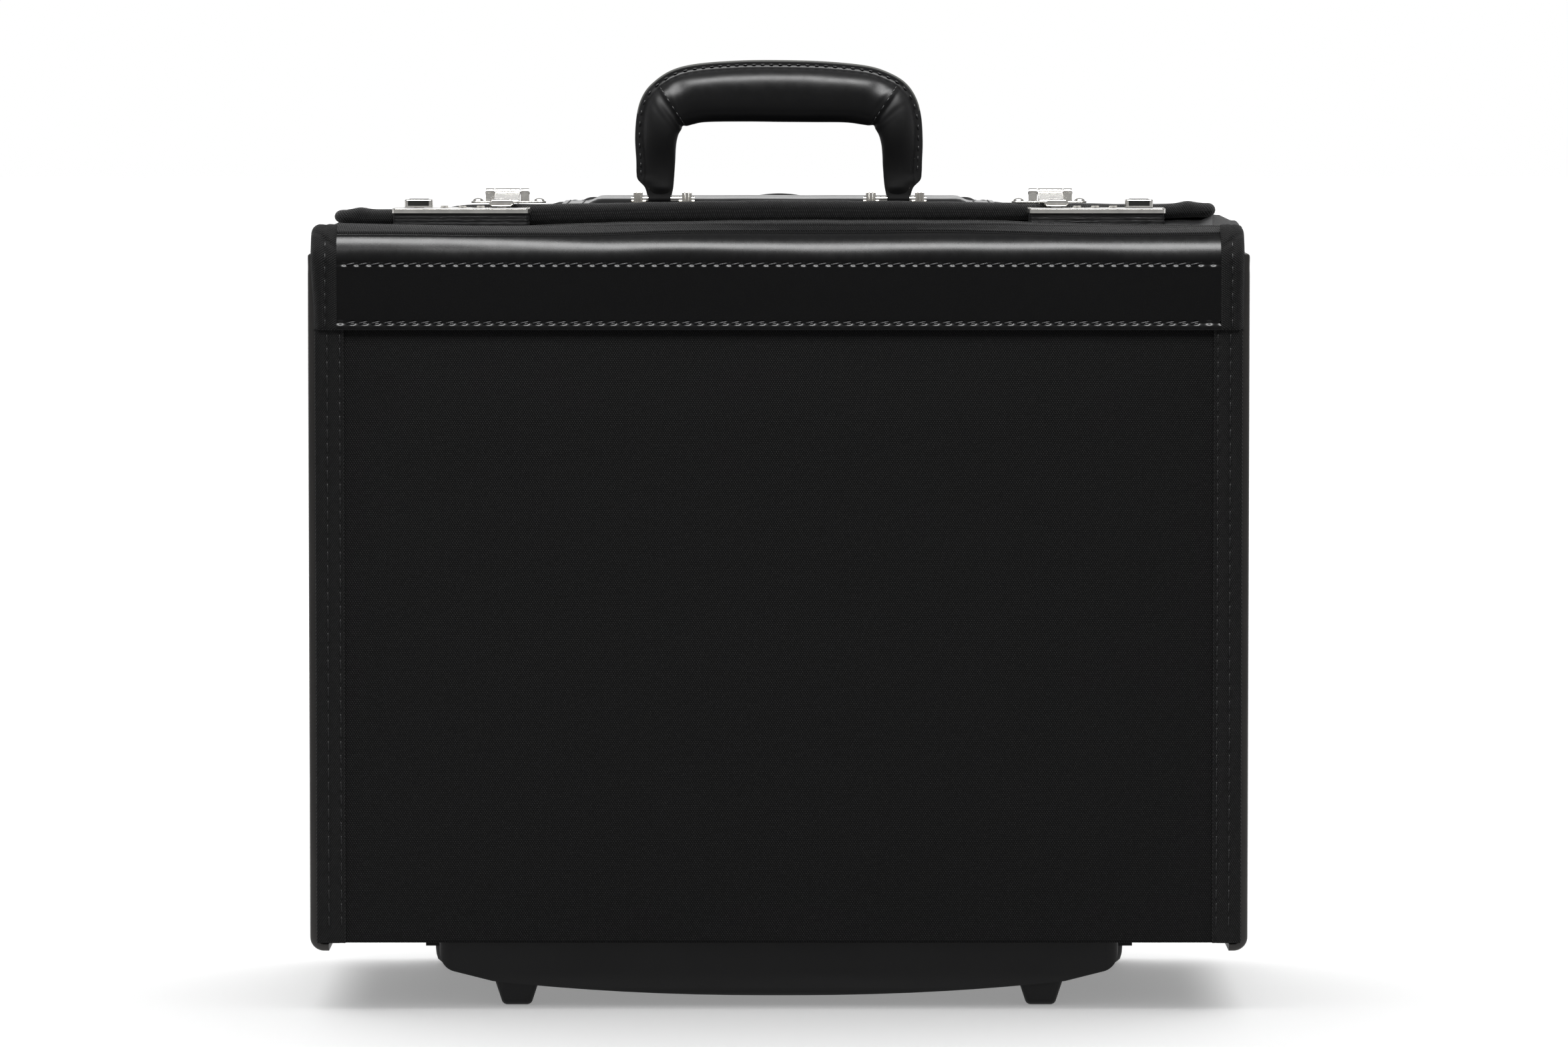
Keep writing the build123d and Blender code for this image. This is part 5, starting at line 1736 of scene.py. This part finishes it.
def build():
    front_leather()
    front_cover()
    back_cover()
    bottom_cover()
    divider_cover()
    rear_leather()
    flap_top()
    flap_edge()
    lid_edge()
    lid_top()
    lid_panel()
    carry_handle()
    handle_posts()
    for name, side in SIDES.items():
        corner_binding(f"corner_binding_{name}", side)
        side_cover(name, side)
        edge_tape(f"edge_tape_{name}", side, 0.0, -1, 217.5, BAND_BOTTOM, (219.4, 225.7))
        edge_tape(f"rear_tape_{name}", side, 220.0, 1, 221.0, 374.8, (223.2,))
        side_vinyl(name, side)
        lock_pad(name, side)
        slider_inset(name, side)
        hasp(name, side)
        hasp_bracket(name, side)
        wheel(name, side)
        for number in (1, 2, 3):
            dial = f"dial_{name}_{number}"
            dial_numbers(f"numbers_{name}_{number}", dial, dial)
            paint_node(NICKEL, dial)
    rear_face = limits("trolley_top_bracket")[1][1]
    places = [(x, rear_face, z) for z in (354, 50) for x in (-60, -20, 20, 60)]
    screws("bracket_screws", places, 3.2, 1, 1, "case", "steel", STEEL)
    grip_ribs()
    paint_node(PLASTIC, "base_tray", "trolley_top_bracket", "trolley_bottom_bracket", "trolley_grip")
    paint_node(INSET, "trolley_button")
    paint_node(STEEL, "wheel_axles", "handle_core", "hasp_pins")
    paint_node(CHROME, "handle_pins")
    for name in SIDES:
        paint_node(PLASTIC, f"wheel_housing_{name}")
        paint_node(FOOT_PLASTIC, f"front_foot_{name}")
        paint_node(STEEL, f"bearings_{name}")
        paint_node(CHROME, f"lock_plate_{name}", f"lock_slider_{name}")
        for tube in ("outer", "mid", "inner"):
            paint_node(TUBE_METAL, f"trolley_{tube}_tube_{name}")


# ------------------------------------------------------------ camera, light, floor


def aim(piece, target):
    direction = Vector(target) - piece.location
    piece.rotation_euler = direction.to_track_quat("-Z", "Y").to_euler()


def add_object(name, data, place=(0, 0, 0)):
    piece = bpy.data.objects.new(name, data)
    piece.location = place
    bpy.context.scene.collection.objects.link(piece)
    return piece


def stage():
    """The photo's camera, a white floor, an overhead sun, a softbox and a studio world."""
    scene = bpy.context.scene
    scene.view_settings.view_transform = "Standard"
    camera = add_object("camera", bpy.data.cameras.new("camera"), (0.0026, -4.1197, 0.5))
    camera.data.lens = 183.9
    camera.data.sensor_width = 36
    camera.data.clip_end = 100
    downward = 3.66
    camera.rotation_euler = (math.radians(90 - downward), 0, 0)
    scene.camera = camera

    mesh = bpy.data.meshes.new("floor")
    reach, front_edge = 20, -0.42
    corners = [(-reach, front_edge), (reach, front_edge), (reach, reach), (-reach, reach)]
    mesh.from_pydata([(*corner, 0) for corner in corners], [], [(0, 1, 2, 3)])
    floor = add_object("floor", mesh, (0, 0, -0.0005))
    paper = Shader("floor_paper", (0.9, 0.9, 0.9), 0.85, Specular_IOR_Level=0.1, Emission_Strength=0.27)
    paper.bsdf.inputs["Emission Color"].default_value = (1, 1, 1, 1)
    mesh.materials.append(paper.material)

    sun = add_object("overhead", bpy.data.lights.new("overhead", "SUN"))
    sun.data.energy = 2.2
    sun.data.angle = math.radians(80)
    sun.rotation_euler = (math.radians(-22), 0, 0)
    sun.visible_glossy = False
    softbox = add_object("softbox", bpy.data.lights.new("softbox", "AREA"), (0, -1.0, 2.3))
    softbox.data.shape = "RECTANGLE"
    softbox.data.size, softbox.data.size_y = 2.6, 0.75
    softbox.data.energy = 170
    softbox.visible_diffuse = False
    aim(softbox, (0, 0, 0.3))

    world = bpy.data.worlds.new("studio")
    scene.world = world
    world.use_nodes = True
    tree = world.node_tree
    background = tree.nodes["Background"]
    place = tree.nodes.new("ShaderNodeTexCoord")
    split = tree.nodes.new("ShaderNodeSeparateXYZ")
    tree.links.new(place.outputs["Generated"], split.inputs[0])
    sweep = tree.nodes.new("ShaderNodeMapRange")
    sweep.interpolation_type = "SMOOTHSTEP"
    for name, value in (("From Min", 0.7), ("From Max", 0.98), ("To Min", 0.35), ("To Max", 0.95)):
        sweep.inputs[name].default_value = value
    tree.links.new(split.outputs[1], sweep.inputs["Value"])
    seen = tree.nodes.new("ShaderNodeLightPath")
    pick = tree.nodes.new("ShaderNodeMix")
    pick.data_type = "RGBA"
    pick.inputs[7].default_value = (1, 1, 1, 1)
    tree.links.new(sweep.outputs[0], pick.inputs[6])
    tree.links.new(seen.outputs["Is Camera Ray"], pick.inputs[0])
    tree.links.new(pick.outputs[2], background.inputs["Color"])


build()
stage()
